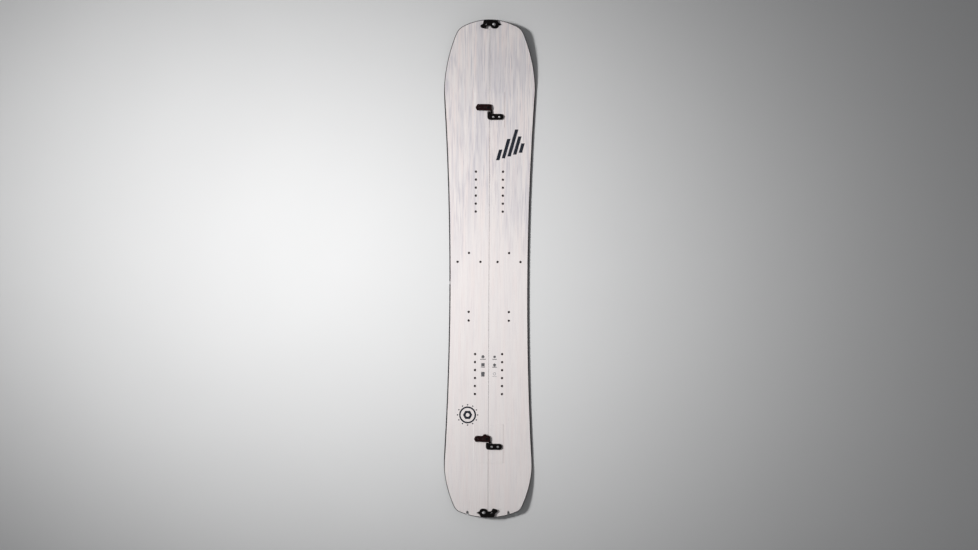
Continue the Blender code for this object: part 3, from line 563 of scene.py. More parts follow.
def add_piece(bm, node, look, place=None, also=(), body=None):
    """Finish a mesh as a piece that stands for its CAD node and rides on that node's body."""
    bmesh.ops.recalc_face_normals(bm, faces=bm.faces)
    rim = bm.faces.layers.float.new("rim")
    for face in bm.faces:
        face.smooth = True
        face[rim] = 1 if WALL_NORMAL < abs(face.normal.z) < FLAT_NORMAL else 0
    for edge in bm.edges:
        flat = [abs(face.normal.z) > FLAT_NORMAL for face in edge.link_faces]
        turn = edge.calc_face_angle(0)
        edge.smooth = turn < SHARP_TURN and (len(set(flat)) == 1 or turn < FLAT_RIM_TURN)
    name = node + "_detailed"
    mesh = bpy.data.meshes.new(name)
    bm.to_mesh(mesh)
    bm.free()
    piece = bpy.data.objects.new(name, mesh)
    link(piece)
    if place:
        piece.matrix_world = place
    mesh.materials.append(MATERIALS[look])
    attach(piece, body or BODY_OF[node])
    if node in BODY_OF:
        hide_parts(node, *also)
    return piece


# ---------- materials


class Shader:
    """A material's node tree, with short ways to add the nodes that the looks need."""

    def __init__(self, name, colour, roughness, metallic=0.0):
        self.material = bpy.data.materials.new(name)
        self.material.use_nodes = True
        self.tree = self.material.node_tree
        self.surface = self.tree.nodes["Principled BSDF"]
        values = {"Base Color": (*colour, 1), "Roughness": roughness, "Metallic": metallic}
        self.set(self.surface, values)
        self.place = self.add("TexCoord").outputs["Object"]

    def set(self, node, values):
        for key, value in values.items():
            if isinstance(value, bpy.types.NodeSocket):
                self.tree.links.new(value, node.inputs[key])
            else:
                node.inputs[key].default_value = value

    def add(self, kind, values=None, **settings):
        node = self.tree.nodes.new("ShaderNode" + kind)
        for key, value in settings.items():
            setattr(node, key, value)
        self.set(node, values or {})
        return node

    def noise(self, size, seed=0.0, detail=3.0, rough=0.55):
        """Noise whose features measure size = (x, y, z) metres; it runs from about 0 to 1."""
        scale = tuple(1 / s for s in size)
        shift = (seed * 3.7, seed * 5.3, seed * 1.9)
        moved = self.add("Mapping", {"Vector": self.place, "Scale": scale, "Location": shift})
        values = {"Vector": moved.outputs[0], "Scale": 1.0, "Detail": detail, "Roughness": rough}
        return self.add("TexNoise", values).outputs["Fac"]

    def range(self, fac, low, high, to_low=0.0, to_high=1.0):
        values = {"Value": fac, "From Min": low, "From Max": high, "To Min": to_low, "To Max": to_high}
        return self.add("MapRange", values, interpolation_type="SMOOTHSTEP").outputs[0]

    def mix(self, fac, first, second, mode="MIX"):
        node = self.add("Mix", data_type="RGBA", blend_type=mode)
        for socket, value in zip((0, 6, 7), (fac, first, second)):
            if isinstance(value, bpy.types.NodeSocket):
                self.tree.links.new(value, node.inputs[socket])
            else:
                node.inputs[socket].default_value = value if socket == 0 else (*value, 1)
        return node.outputs[2]

    def math(self, kind, first, second=0.0):
        return self.add("Math", {0: first, 1: second}, operation=kind).outputs[0]

    def times(self, first, second):
        return self.math("MULTIPLY", first, second)

    def axis(self, which):
        return self.add("SeparateXYZ", {0: self.place}).outputs[which]

    def rim(self):
        """1 on rounded and chamfered faces, 0 on flat ones and upright walls."""
        return self.add("Attribute", attribute_name="rim").outputs["Fac"]

    def finish(self, colour=None, roughness=None, height=None, depth=0.0):
        """Link the patterns to the surface; depth is the height pattern's relief in metres."""
        if colour is not None:
            self.set(self.surface, {"Base Color": colour})
        if roughness is not None:
            self.set(self.surface, {"Roughness": roughness})
        if height is not None:
            values = {"Height": height, "Distance": depth, "Strength": 1.0}
            self.set(self.surface, {"Normal": self.add("Bump", values).outputs[0]})
        return self.material


def whitewashed_wood():
    """Matt print of pale wood: long lilac-grey and rosy streaks, stronger towards the nose, with painted
    shade on the pads' right slopes.
    """
    s = Shader("whitewashed_wood", (0.8, 0.76, 0.74), 0.55)
    y = s.axis("Y")
    x = s.axis("X")
    outwards = s.times(s.math("ABSOLUTE", x), 1.3)
    nose = s.range(s.math("ADD", y, outwards), 0.02, 0.42, 0.2, 1.0)
    broad = s.range(s.noise((0.013, 0.22, 1), 1.3, 2.0), 0.40, 0.64)
    streak = s.range(s.noise((0.0036, 0.085, 1), 4.1, 3.0), 0.48, 0.68)
    rosy = s.range(s.noise((0.009, 0.16, 1), 7.7, 3.0), 0.42, 0.66)
    fine = s.range(s.noise((0.0016, 0.09, 1), 9.2, 4.0), 0.30, 0.75)
    pores = s.range(s.noise((0.0006, 0.022, 1), 12.5, 2.0), 0.60, 0.74)
    warm = s.times(rosy, s.range(nose, 0.2, 1.0, 0.6, 1.0))
    base = s.mix(warm, (0.835, 0.785, 0.772), (0.825, 0.745, 0.73))
    grey = s.mix(s.times(broad, s.times(nose, 0.85)), base, (0.70, 0.67, 0.69))
    lilac = s.mix(s.times(streak, s.times(nose, 0.75)), grey, (0.57, 0.54, 0.585))
    deep = s.times(fine, s.range(nose, 0.2, 1, 0.25, 0.5))
    grain = s.mix(deep, lilac, (0.91, 0.88, 0.875), "MULTIPLY")
    porous = s.mix(s.times(pores, 0.22), grain, (0.46, 0.42, 0.42))
    # Painted shade: sloped faces between about x = 45 and 49 mm are darkened pinkish brown. These are
    # chiefly the right slope of the right half's pads, which faces away from the key light.
    painted_shade_start = s.range(x, PAD_HALF_WIDTH - 3 * MM, PAD_HALF_WIDTH - 2 * MM)
    painted_shade_stop = s.range(x, PAD_HALF_WIDTH + 0.5 * MM, PAD_HALF_WIDTH + 1.5 * MM, 1, 0)
    painted_shade = s.times(painted_shade_start, painted_shade_stop)
    colour = s.mix(s.times(s.times(painted_shade, s.rim()), 0.6), porous, (0.42, 0.34, 0.33))
    rough = s.range(fine, 0, 1, 0.50, 0.62)
    relief = s.math("SUBTRACT", s.times(fine, 0.6), pores)
    return s.finish(colour, rough, relief, 0.02 * MM)


def scar(s, colour):
    """A pale scraped patch at the edge joint of the left waist."""
    far = s.math("ABSOLUTE", s.math("SUBTRACT", s.axis("Y"), EDGE_JOINT_Y))
    ragged = s.math("ADD", far, s.times(s.noise((0.001, 0.002, 0.001), 2.6), 3 * MM))
    near = s.range(ragged, 6.2 * MM, 7.2 * MM, 0.85, 0)
    left = s.range(s.axis("X"), -110 * MM, -105 * MM, 1, 0)
    return s.mix(s.times(near, left), colour, (0.36, 0.35, 0.355))


def sidewall_plastic():
    """Dark sintered plastic, milled lengthwise, with pale scuffs on its corners."""
    s = Shader("sidewall_plastic", (0.018, 0.015, 0.018), 0.5)
    milling = s.noise((0.004, 0.30, 0.0003), 2.2, 3.0)
    cloud = s.noise((0.02, 0.06, 0.02), 5.0, 2.0)
    scuff = s.range(s.noise((0.002, 0.006, 0.002), 8.4, 3.0), 0.60, 0.78)
    colour = s.mix(cloud, (0.013, 0.011, 0.013), (0.024, 0.020, 0.023))
    worn = s.mix(s.times(s.times(scuff, s.rim()), 0.25), colour, (0.16, 0.14, 0.15))
    return s.finish(scar(s, worn), s.range(milling, 0.3, 0.7, 0.42, 0.58), milling, 0.03 * MM)


def edge_steel():
    """Ground carbon steel with file marks and a trace of rust."""
    s = Shader("edge_steel", (0.20, 0.195, 0.20), 0.42, 1.0)
    grinding = s.noise((0.0004, 0.02, 0.0004), 3.1, 4.0)
    stain = s.range(s.noise((0.006, 0.035, 0.006), 6.6, 4.0), 0.58, 0.80)
    colour = s.mix(s.range(grinding, 0.3, 0.7), (0.15, 0.145, 0.15), (0.25, 0.245, 0.25))
    rusty = s.mix(s.times(stain, 0.4), colour, (0.12, 0.07, 0.045))
    return s.finish(scar(s, rusty), s.range(stain, 0, 1, 0.38, 0.58), grinding, 0.02 * MM)


def running_base():
    """Black sintered base with the fine crossed structure that a grinding stone leaves."""
    s = Shader("running_base", (0.020, 0.020, 0.023), 0.42)
    x, y = s.axis("X"), s.axis("Y")
    lines = []
    for lean in (0.16, -0.16):
        across = s.math("ADD", x, s.times(y, lean))
        lines.append(s.math("SINE", s.times(across, 2 * math.pi / (0.9 * MM))))
    crossed = s.times(lines[0], lines[1])
    wax = s.noise((0.05, 0.20, 0.05), 3.3, 3.0)
    colour = s.mix(wax, (0.014, 0.014, 0.016), (0.030, 0.030, 0.034))
    return s.finish(colour, s.range(wax, 0.3, 0.7, 0.30, 0.48), crossed, 0.015 * MM)


def glass_laminate():
    """Woven glass in resin: two sets of fine bands at 45 degrees."""
    s = Shader("glass_laminate", (0.08, 0.08, 0.07), 0.4)
    x, y = s.axis("X"), s.axis("Y")
    pair = [s.math("SINE", s.times(s.math(k, x, y), 2 * math.pi / (1.6 * MM)))
            for k in ("ADD", "SUBTRACT")]
    weave = s.times(*pair)
    colour = s.mix(s.range(weave, -1, 1), (0.050, 0.052, 0.044), (0.095, 0.098, 0.080))
    return s.finish(colour, None, weave, 0.03 * MM)


def wood_core():
    """Glued strips of poplar and beech that run the length of the board."""
    s = Shader("wood_core", (0.62, 0.45, 0.26), 0.65)
    strip = s.math("FLOOR", s.math("DIVIDE", s.axis("X"), 12 * MM))
    tone = s.add("TexWhiteNoise", {"W": strip}, noise_dimensions="1D").outputs["Value"]
    grain = s.noise((0.0012, 0.05, 0.002), 2.0, 4.0)
    colour = s.mix(tone, (0.66, 0.50, 0.30), (0.50, 0.33, 0.18))
    grained = s.mix(s.range(grain, 0.35, 0.7, 0, 0.6), colour, (0.36, 0.23, 0.12))
    return s.finish(grained, s.range(grain, 0.3, 0.7, 0.55, 0.75), grain, 0.05 * MM)


def anodised(name, colour, worn, roughness, metallic):
    """Bead-blasted, anodised aluminium with bright wear along its rounded rims."""
    s = Shader(name, colour, roughness, metallic)
    s.set(s.surface, {"Specular IOR Level": 0.15})
    blast = s.noise((0.00025, 0.00025, 0.00025), 1.0, 2.0)
    cloud = s.noise((0.012, 0.012, 0.012), 4.0, 3.0)
    chipped = s.range(s.noise((0.0016, 0.0016, 0.0016), 7.0, 4.0), 0.52, 0.72)
    scratch = s.range(s.noise((0.0003, 0.012, 0.012), 9.0, 3.0), 0.66, 0.76)
    tinted = s.mix(cloud, tuple(c * 0.8 for c in colour), tuple(c * 1.25 for c in colour))
    rubbed = s.mix(s.times(scratch, 0.10), tinted, worn)
    finished = s.mix(s.times(s.times(chipped, s.rim()), 0.42), rubbed, worn)
    uneven = s.range(cloud, 0.3, 0.7, roughness - 0.05, roughness + 0.08)
    return s.finish(finished, uneven, blast, 0.015 * MM)


def turned_steel(name, tones, roughness):
    """Stainless steel with fine turning marks and dull patches."""
    s = Shader(name, tones[0], roughness, 1.0)
    marks = s.noise((0.0003, 0.0003, 0.0002), 3.0, 3.0)
    patch = s.noise((0.003, 0.003, 0.003), 6.0, 3.0)
    colour = s.mix(s.range(patch, 0.3, 0.7), *tones)
    return s.finish(colour, s.range(patch, 0.3, 0.7, roughness, roughness + 0.14), marks, 0.012 * MM)


def screen_ink(name, colour):
    """Matt printing ink, worn thin along the wood's grain."""
    s = Shader(name, colour, 0.62)
    s.set(s.surface, {"Specular IOR Level": 0.25})
    thin = s.range(s.noise((0.0016, 0.05, 1), 9.2, 4.0), 0.50, 0.80)
    body = s.noise((0.01, 0.01, 1), 2.0, 2.0)
    tone = s.mix(body, tuple(c * 0.85 for c in colour), tuple(c * 1.2 for c in colour))
    worn = s.mix(s.times(thin, 0.06), tone, (0.55, 0.53, 0.55))
    return s.finish(worn, s.range(thin, 0, 1, 0.58, 0.70), thin, 0.006 * MM)


def studio_paper():
    s = Shader("studio_paper", (0.72, 0.72, 0.72), 0.85)
    mottle = s.noise((0.25, 0.25, 0.25), 1.0, 4.0)
    colour = s.mix(mottle, (0.71, 0.71, 0.71), (0.735, 0.735, 0.735))
    return s.finish(colour, None, s.noise((0.0015, 0.0015, 0.0015), 2.0, 2.0), 0.05 * MM)


MATERIALS = {
    "topsheet": whitewashed_wood(),
    "laminate": glass_laminate(),
    "core": wood_core(),
    "sidewall": sidewall_plastic(),
    "base": running_base(),
    "edge": edge_steel(),
    "insert": turned_steel("insert_steel", ((0.16, 0.13, 0.13), (0.24, 0.20, 0.20)), 0.38),
    "clip": anodised("black_anodised", (0.006, 0.005, 0.005), (0.30, 0.29, 0.28), 0.40, 0.6),
    "lever": anodised("brown_anodised", (0.021, 0.0075, 0.008), (0.32, 0.24, 0.23), 0.38, 0.6),
    "steel": turned_steel("screw_steel", ((0.55, 0.545, 0.55), (0.42, 0.415, 0.42)), 0.30),
    "black_screw": turned_steel("black_screw_steel", ((0.035, 0.022, 0.022), (0.06, 0.04, 0.04)), 0.36),
    "navy_ink": screen_ink("navy_ink", (0.007, 0.011, 0.020)),
    "grey_ink": screen_ink("grey_ink", (0.115, 0.112, 0.118)),
    "pale_ink": screen_ink("pale_ink", (0.42, 0.41, 0.42)),
    "paper": studio_paper(),
}


# ---------- half boards


def row_of(centre_y):
    """The insert centres of one binding row."""
    first = centre_y - INSERT_PITCH * (BINDING_ROW_COUNT - 1) / 2
    return [(BINDING_ROW_X, first + INSERT_PITCH * i) for i in range(BINDING_ROW_COUNT)]


def insert_groups():
    """Each group's insert centres and the corners of its retaining plate."""
    front, rear = row_of(FRONT_BINDING_Y), row_of(REAR_BINDING_Y)
    return {
        "front_binding_inserts": (front, (front[0], front[-1])),
        "rear_binding_inserts": (rear, (rear[0], rear[-1])),
        "touring_inserts": (TOURING_POINTS, TOURING_POINTS),
        "heel_inserts": (HEEL_POINTS, HEEL_POINTS),
    }


def insert_holes(radius):
    return [circle(p, radius) for points, _ in insert_groups().values() for p in points]


def raised(corners, rise):
    """Outline corners with the ones of the catch's side, below y = 0, moved up by rise."""
    return [(x, y + rise if y < 0 else y, radius) for x, y, radius in corners]


def catch_screws(which):
    return [(x, y + CATCH_RISE[which] * MM) for x, y in CATCH_SCREWS]


def screw_holes(side):
    """The holes for one half's clip and tip screws, drawn on the right of the seam."""
    centres = []
    for which, clip_y in CLIP_Y.items():
        points = catch_screws(which) if side > 0 else LEVER_SCREWS
        centres += [(abs(x), clip_y + y) for x, y in points]
    for end in (-1, 1):
        x, y = TIP_SCREWS["hook_plate" if side == -end else "stud_plate"]
        centres.append((abs(x), end * (HALF_LENGTH + y)))
    return [circle(centre, SCREW_HOLE, 20) for centre in centres]


def pad_lift(x, y):
    """How far the raised pads lift the topsheet, with a soft slope round each."""
    lift = 0
    for start, stop in PAD_SPANS:
        inside = min(y - start, stop - y, PAD_HALF_WIDTH - abs(x))
        share = min(max(inside / PAD_SLOPE, 0), 1)
        lift = max(lift, PAD_HEIGHT * share * share * (3 - 2 * share))
    return lift


def raise_pads(bm):
    """Cut the topsheet where the pads' slopes run and lift it there."""
    runs = [PAD_SLOPE * i / PAD_STEPS for i in range(PAD_STEPS + 1)]
    middle = sum(TOPSHEET) / 2
    for start, stop in PAD_SPANS:
        for run in runs:
            slice_mesh(bm, "y", start + run)
            slice_mesh(bm, "y", stop - run)
        for run in runs:
            slice_mesh(bm, "x", PAD_HALF_WIDTH - run, (start, stop))
    for vertex in bm.verts:
        if vertex.co.z > middle:
            vertex.co.z += pad_lift(vertex.co.x, vertex.co.y)


def add_sided(bm, side, node, look, also=()):
    """Finish a piece that is drawn for the right half, and mirrored for the left."""
    if side < 0:
        bmesh.ops.scale(bm, vec=(-1, 1, 1), verts=bm.verts)
    add_piece(bm, node, look, also=also)


def add_topsheet(name, side):
    holes = insert_holes(TOPSHEET_HOLE) + screw_holes(side)
    levels = []
    for inset, z in [(0, TOPSHEET[0])] + rounding(TOPSHEET_ROUNDING, TOPSHEET[1], 3):
        outline = half_outline(
            TOPSHEET_TIP_INSET + inset, TOPSHEET_WAIST_INSET + inset, TOPSHEET_SEAM_INSET + inset / 3
        )
        levels.append(([outline] + [inset_loop(hole, -inset) for hole in holes], z))
    bm = solid(levels)
    raise_pads(bm)
    lay_on_board(bm, (1, 1))
    add_sided(bm, side, name + "topsheet", "topsheet")


def add_layer(node, side, look, levels, shares):
    bm = solid(levels)
    lay_on_board(bm, shares)
    add_sided(bm, side, node, look)


def add_edge(name, side):
    """The steel edge, a closed ring but for the joint at the left waist."""
    foot, head = EDGE_CHAMFERS
    insets = ((foot, 0), (0, foot), (0, EDGE_TOP - head), (head, EDGE_TOP))
    levels = [([half_outline(inset), half_outline(EDGE_WIDTH)], z) for inset, z in insets]
    bm = solid(levels)
    if side < 0:
        for offset in (-0.5, 0.5):
            slice_mesh(bm, "y", EDGE_JOINT_Y + offset * EDGE_JOINT_WIDTH)
        middle = [
            f for f in bm.faces
            if abs(f.calc_center_median().y - EDGE_JOINT_Y) < EDGE_JOINT_WIDTH / 2
            and f.calc_center_median().x > WAIST_HALF_WIDTH / 2
        ]
        bmesh.ops.delete(bm, geom=middle, context="FACES")
        bmesh.ops.holes_fill(bm, edges=[e for e in bm.edges if e.is_boundary])
    lay_on_board(bm, (0, 0))
    add_sided(bm, side, name + "edge", "edge")


def keep_between(bm, low_y, high_y):
    """Cut a closed mesh off at two values of y and cap it there."""
    for y, normal in ((low_y, -1), (high_y, 1)):
        if y is None:
            continue
        bmesh.ops.bisect_plane(
            bm, geom=[*bm.verts, *bm.edges, *bm.faces], dist=CUT_TOLERANCE,
            plane_co=(0, y, 0), plane_no=(0, normal, 0), clear_outer=True,
        )
        bmesh.ops.holes_fill(bm, edges=[e for e in bm.edges if e.is_boundary])


def add_sidewalls(name, side):
    """The milled sidewalls of the middle, and the solid spacers that fill the tips."""
    low, high = SIDEWALL
    profile = (
        (SIDEWALL_FOOT, low), (SIDEWALL_FOOT, low + 0.6 * MM),
        (SIDEWALL_HEAD - 0.2 * MM, high - 0.5 * MM), (SIDEWALL_HEAD, high),
    )
    for part, start, stop in (
        ("tail_spacer", None, TAIL_CONTACT_Y), ("outer_sidewall", TAIL_CONTACT_Y, NOSE_CONTACT_Y),
        ("nose_spacer", NOSE_CONTACT_Y, None),
    ):
        hollow = part == "outer_sidewall"
        inner = [half_outline(SIDEWALL_DEPTH)] if hollow else []
        levels = [([half_outline(inset, seam_inset=SIDEWALL_FOOT)] + inner, z) for inset, z in profile]
        bm = solid(levels)
        keep_between(bm, start, stop)
        lay_on_board(bm, (0, 1))
        add_sided(bm, side, name + part, "sidewall", [name + "inner_sidewall"] if hollow else ())


def add_inserts(name, side):
    """Threaded barrels on their retaining plates."""
    low, high = THREAD_RADII
    for group, (centres, corners) in insert_groups().items():
        bm = plate([rounded_hull(corners, INSERT_PLATE_RADIUS)], INSERT_PLATE, 0.2 * MM)
        profile = [
            (INSERT_RADIUS, INSERT_PLATE[1]), (INSERT_RADIUS, UPPER_LAMINATE[0]),
            (INSERT_LIP, UPPER_LAMINATE[0]), (INSERT_LIP, INSERT_TOP - 0.2 * MM),
            (INSERT_LIP - 0.2 * MM, INSERT_TOP), (high + 0.15 * MM, INSERT_TOP),
        ]
        z = INSERT_TOP - 0.6 * MM
        while z > INSERT_PLATE[1] + THREAD_PITCH:
            profile += [(low, z), (low, z - 0.12 * MM), (high, z - THREAD_PITCH / 2)]
            z -= THREAD_PITCH
        profile.append((low, INSERT_PLATE[1]))
        for centre in centres:
            turn_profile(bm, centre, profile, 28, closed=True)
        add_sided(bm, side, name + group, "insert")


def add_half(side_name):
    side, name = SIDES[side_name], side_name + "_"
    inside = half_outline(EDGE_WIDTH)
    soft = half_outline(EDGE_WIDTH + BASE_SOFTENING)
    levels = [([soft], BASE[0]), ([inside], BASE[0] + BASE_SOFTENING), ([inside], BASE[1])]
    add_layer(name + "base", side, "base", levels, (0, 0))
    add_edge(name, side)
    add_sidewalls(name, side)
    rim = half_outline(TOPSHEET_TIP_INSET, TOPSHEET_WAIST_INSET, TOPSHEET_SEAM_INSET)
    holes = insert_holes(INSERT_LIP + 0.05 * MM) + screw_holes(side)
    levels = [([rim] + holes, z) for z in UPPER_LAMINATE]
    add_layer(name + "upper_laminate", side, "laminate", levels, (1, 1))
    add_topsheet(name, side)
    add_inserts(name, side)
    give_material(name + "core", "core")
    give_material(name + "lower_laminate", "laminate")


def give_material(node, look):
    """A CAD node that stays gets its finished material."""
    for place in frame["nodes"][node].material_slots:
        place.material = MATERIALS[look]


# ---------- seam clips


def add_screw(node, point, place, look):
    """A button-head screw with a hexagon socket."""
    foot = BRACKET[1]
    profile = [
        (SCREW_SHANK * 0.6, -SCREW_DEPTH), (SCREW_SHANK, -SCREW_DEPTH + 0.8 * MM), (SCREW_SHANK, foot),
        (SCREW_HEAD - 0.15 * MM, foot), (SCREW_HEAD, foot + 0.2 * MM),
    ]
    profile += dome(SCREW_HEAD, 1.9 * MM, foot + 0.5 * MM, 1.85 * MM)
    top = foot + 2.35 * MM
    profile += [
        (1.4 * MM, top - 0.25 * MM, HEXAGON), (1.4 * MM, top - 1.7 * MM, HEXAGON),
        (0.4 * MM, top - 2.0 * MM),
    ]
    add_piece(turned(point, profile), node, look, place)


def add_bracket(name, place):
    outline = rounded(BRACKET_CORNERS)
    holes = [circle(p, SCREW_HOLE) for p in LEVER_SCREWS] + [circle(PIVOT, PIVOT_RADIUS + 0.1 * MM)]
    add_piece(plate([outline] + holes, BRACKET), name + "clip_bracket", "clip", place)
    for i, point in enumerate(LEVER_SCREWS, 1):
        add_screw(f"{name}bracket_screw_{i}", point, place, "black_screw")


def add_hook(name, rise, place):
    rest_x = PIVOT[0] - HUB_OFFSET * math.sqrt(0.5)
    reach = HUB_RADIUS + RUNNING_GAP
    slot = arc((rest_x, PIVOT[1] + HUB_OFFSET + 0.2 * MM), reach, 0, 180, 20)
    slot += arc((rest_x, PIVOT[1] + HUB_OFFSET * 0.6), reach, 180, 360, 20)
    outline = rounded(raised(HOOK_CORNERS, rise))
    bm = plate([outline, slot], HOOK, 0.45 * MM, hole_head=0.2 * MM)
    add_piece(bm, name + "clip_hook", "clip", place)


def add_lever(name, corners, place):
    """The flat lever with its eccentric hub, and the pivot that it turns on."""
    holes = [circle(p, SCREW_HEAD + 0.3 * MM, 48) for p in LEVER_SCREWS]
    bore = circle(PIVOT, PIVOT_RADIUS + 0.15 * MM)
    bm = plate([rounded(corners)] + holes + [bore], LEVER, 0.8 * MM, 0.3 * MM, 0.45 * MM)
    centre = (PIVOT[0] - HUB_OFFSET * math.sqrt(0.5), PIVOT[1] + HUB_OFFSET * math.sqrt(0.5))
    hub = (HOOK[0] + 0.1 * MM, LEVER[0])
    merge(bm, plate([circle(centre, HUB_RADIUS, 48), bore], hub, 0.1 * MM))
    add_piece(bm, name + "clip_lever", "lever", place)
    top = LEVER[1] + 0.05 * MM
    profile = [
        (PIVOT_RADIUS, BRACKET[0]), (PIVOT_RADIUS, top), (PIVOT_HEAD, top),
        (PIVOT_HEAD, top + 0.7 * MM),
    ]
    profile += [(PIVOT_HEAD - inset, z) for inset, z in rounding(0.6 * MM, top + 1.3 * MM, 4)]
    profile += [
        (2.6 * MM, top + 1.3 * MM), (2.3 * MM, top + 0.9 * MM), (1.5 * MM, top + 0.9 * MM, HEXAGON),
        (1.5 * MM, top - 0.4 * MM, HEXAGON),
    ]
    add_piece(turned(PIVOT, profile), name + "clip_pivot", "clip", place)


def add_catch(name, which, place):
    """The catch: a low plate with sunk screws, whose finger reaches over the seam."""
    outline = rounded(raised(CATCH_CORNERS, CATCH_RISE[which]))
    screws = catch_screws(which)
    sinks = [circle(p, COUNTERBORE, 48) for p in screws]
    floor = [circle(p, SCREW_HOLE, 48) for p in screws]
    bm = bmesh.new()
    rows = []
    rims = [(0.2 * MM, CATCH[0]), (0, CATCH[0] + 0.2 * MM)] + rounding(0.9 * MM, CATCH[1], 5)
    for inset, z in rims:
        rows.append([bm.verts.new((*p, z)) for p in inset_loop(outline, inset)])
    for below, above in zip(rows, rows[1:]):
        join_rings(bm, below, above)
    bottoms, tops = [], []
    for sink, hole in zip(sinks, floor):
        steps = [(hole, CATCH[0]), (hole, BRACKET[1]), (sink, BRACKET[1]), (sink, CATCH[1] - 0.4 * MM)]
        steps.append((inset_loop(sink, -0.4 * MM), CATCH[1]))
        walls = [[bm.verts.new((*p, z)) for p in loop] for loop, z in steps]
        for below, above in zip(walls, walls[1:]):
            join_rings(bm, below, above)
        bottoms.append(walls[0])
        tops.append(walls[-1])
    add_cap(bm, [rows[0]] + bottoms)
    add_cap(bm, [rows[-1]] + tops)
    slice_mesh(bm, "x", CATCH_RELIEF_X)
    slice_mesh(bm, "x", CATCH_RELIEF_X - 0.3 * MM)
    for vertex in bm.verts:
        if vertex.co.x < CATCH_RELIEF_X - 0.1 * MM and vertex.co.z < HOOK[0]:
            vertex.co.z = HOOK[0] + (vertex.co.z - CATCH[0]) * 0.5
    add_piece(bm, name + "clip_catch", "clip", place)
    for i, point in enumerate(screws, 1):
        add_screw(f"{name}catch_screw_{i}", point, place, "steel")


def add_seam_clip(which):
    name = which + "_"
    place = Matrix.Translation((0, CLIP_Y[which], CLIP_ORIGIN_Z))
    add_bracket(name, place)
    add_hook(name, CATCH_RISE[which], place)
    add_lever(name, LEVER_CORNERS[which], place)
    add_catch(name, which, place)


# ---------- tip hooks


def add_flush_screw(node, point, place):
    """A cone-headed screw with a hexagon socket, flush with its plate."""
    top = TIP_PLATE[1]
    profile = [
        (1.2 * MM, -3.6 * MM), (SCREW_SHANK, -2.8 * MM), (SCREW_SHANK, TIP_PLATE[0] + 0.2 * MM),
        (SCREW_HEAD, top - 0.2 * MM), (SCREW_HEAD, top), (1.9 * MM, top + 0.05 * MM),
        (1.3 * MM, top - 0.15 * MM, HEXAGON), (1.3 * MM, top - 1.3 * MM, HEXAGON),
    ]
    add_piece(turned(point, profile), node, "clip", place)


def add_tip_posts(name, place):
    """The hook's shouldered pivot and the headed stud that it holds."""
    seat = TIP_PLATE[1]
    shoulder, top = TIP_HOOK[0] - 0.1 * MM, TIP_HOOK[1] + 0.1 * MM
    pivot = [
        (TIP_POST_FOOT, 0.1 * MM), (TIP_POST_FOOT, seat), (TIP_PIVOT_COLLAR, seat),
        (TIP_PIVOT_COLLAR, shoulder), (TIP_STUD_RADIUS, shoulder), (TIP_STUD_RADIUS, top),
        (TIP_PIVOT_HEAD, top),
    ]
    pivot += [(TIP_PIVOT_HEAD - inset, z) for inset, z in rounding(0.7 * MM, top + 1.2 * MM, 4)]
    pivot += [(2.4 * MM, top + 1.2 * MM), (2.0 * MM, top + 0.9 * MM), (0.3 * MM, top + 0.8 * MM)]
    stud = [
        (TIP_POST_FOOT, 0.1 * MM), (TIP_POST_FOOT, seat), (TIP_STUD_COLLAR, seat),
        (TIP_STUD_COLLAR, seat + 0.9 * MM), (TIP_STUD_RADIUS, seat + 1.3 * MM),
        (TIP_STUD_RADIUS, top + 0.1 * MM), (TIP_STUD_CAP, top + 0.15 * MM),
    ]
    stud += dome(TIP_STUD_CAP, 0.35 * TIP_STUD_CAP, top + 0.4 * MM, 1.1 * MM)
    add_piece(turned(TIP_PIVOT, pivot), name + "hook_pivot", "clip", place)
    add_piece(turned(TIP_STUD, stud), name + "stud", "steel", place)
    foot = top + 0.85 * MM
    pin = [
        (1.2 * MM, foot - 0.5 * MM), (1.7 * MM, foot), (1.6 * MM, foot + 0.2 * MM),
        (0.8 * MM, foot + 0.35 * MM),
    ]
    body = BODY_OF[name + "hook_pivot"]
    add_piece(turned(TIP_PIVOT, pin, 32), name + "pivot_pin", "steel", place, body=body)


def hook_outline():
    """The swivelling hook; its slot's walls are arcs about the pivot, so that it swings off."""
    reach = TIP_STUD[0] - TIP_PIVOT[0]
    finger = math.degrees(math.asin(TIP_SLOT_FINGER / (reach + TIP_SLOT)))
    heel = math.degrees(math.asin(TIP_SLOT_HEEL / (reach - TIP_SLOT)))
    slot = arc(TIP_PIVOT, reach - TIP_SLOT, -heel, 0, 5)[:-1]
    slot += arc(TIP_STUD, TIP_SLOT, 180, 0, 20)
    slot += arc(TIP_PIVOT, reach + TIP_SLOT, 0, -finger, 5)[1:]
    return rounded(TIP_HOOK_CORNERS) + slot


def add_tip_hook(which, end):
    """One tip hook; the tail's is the nose's turned half round."""
    name = which + "_"
    top = bottom_z(end * HALF_LENGTH) + TOPSHEET[1] - TIP_THINNING
    turn = Euler((tip_slope(end), 0, 0 if end > 0 else math.pi))
    place = Matrix.Translation((0, end * HALF_LENGTH, top)) @ turn.to_matrix().to_4x4()
    for plate_name, corners, post in (
        ("hook_plate", HOOK_PLATE_CORNERS, TIP_PIVOT), ("stud_plate", STUD_PLATE_CORNERS, TIP_STUD),
    ):
        screw = TIP_SCREWS[plate_name]
        holes = [circle(post, TIP_POST_FOOT + 0.1 * MM), circle(screw, SCREW_HEAD + 0.1 * MM)]
        bm = plate([rounded(corners)] + holes, TIP_PLATE, 0.5 * MM, 0.1 * MM, 0.1 * MM)
        add_piece(bm, name + plate_name, "clip", place)
        add_flush_screw(f"{name}{plate_name}_screw", screw, place)
    bore = circle(TIP_PIVOT, TIP_STUD_RADIUS + 0.1 * MM)
    bm = plate([hook_outline(), bore], TIP_HOOK, 0.6 * MM, 0.25 * MM, 0.2 * MM)
    add_piece(bm, name + "hook", "clip", place)
    add_tip_posts(name, place)


# ---------- printed marks


def add_ink(name, look, shapes, body):
    """A printed mark: thin raised shapes, each a list of loops."""
    bm = bmesh.new()
    for loops in shapes:
        merge(bm, solid([(loops, z) for z in INK]))
    add_piece(bm, name, look, body=body)


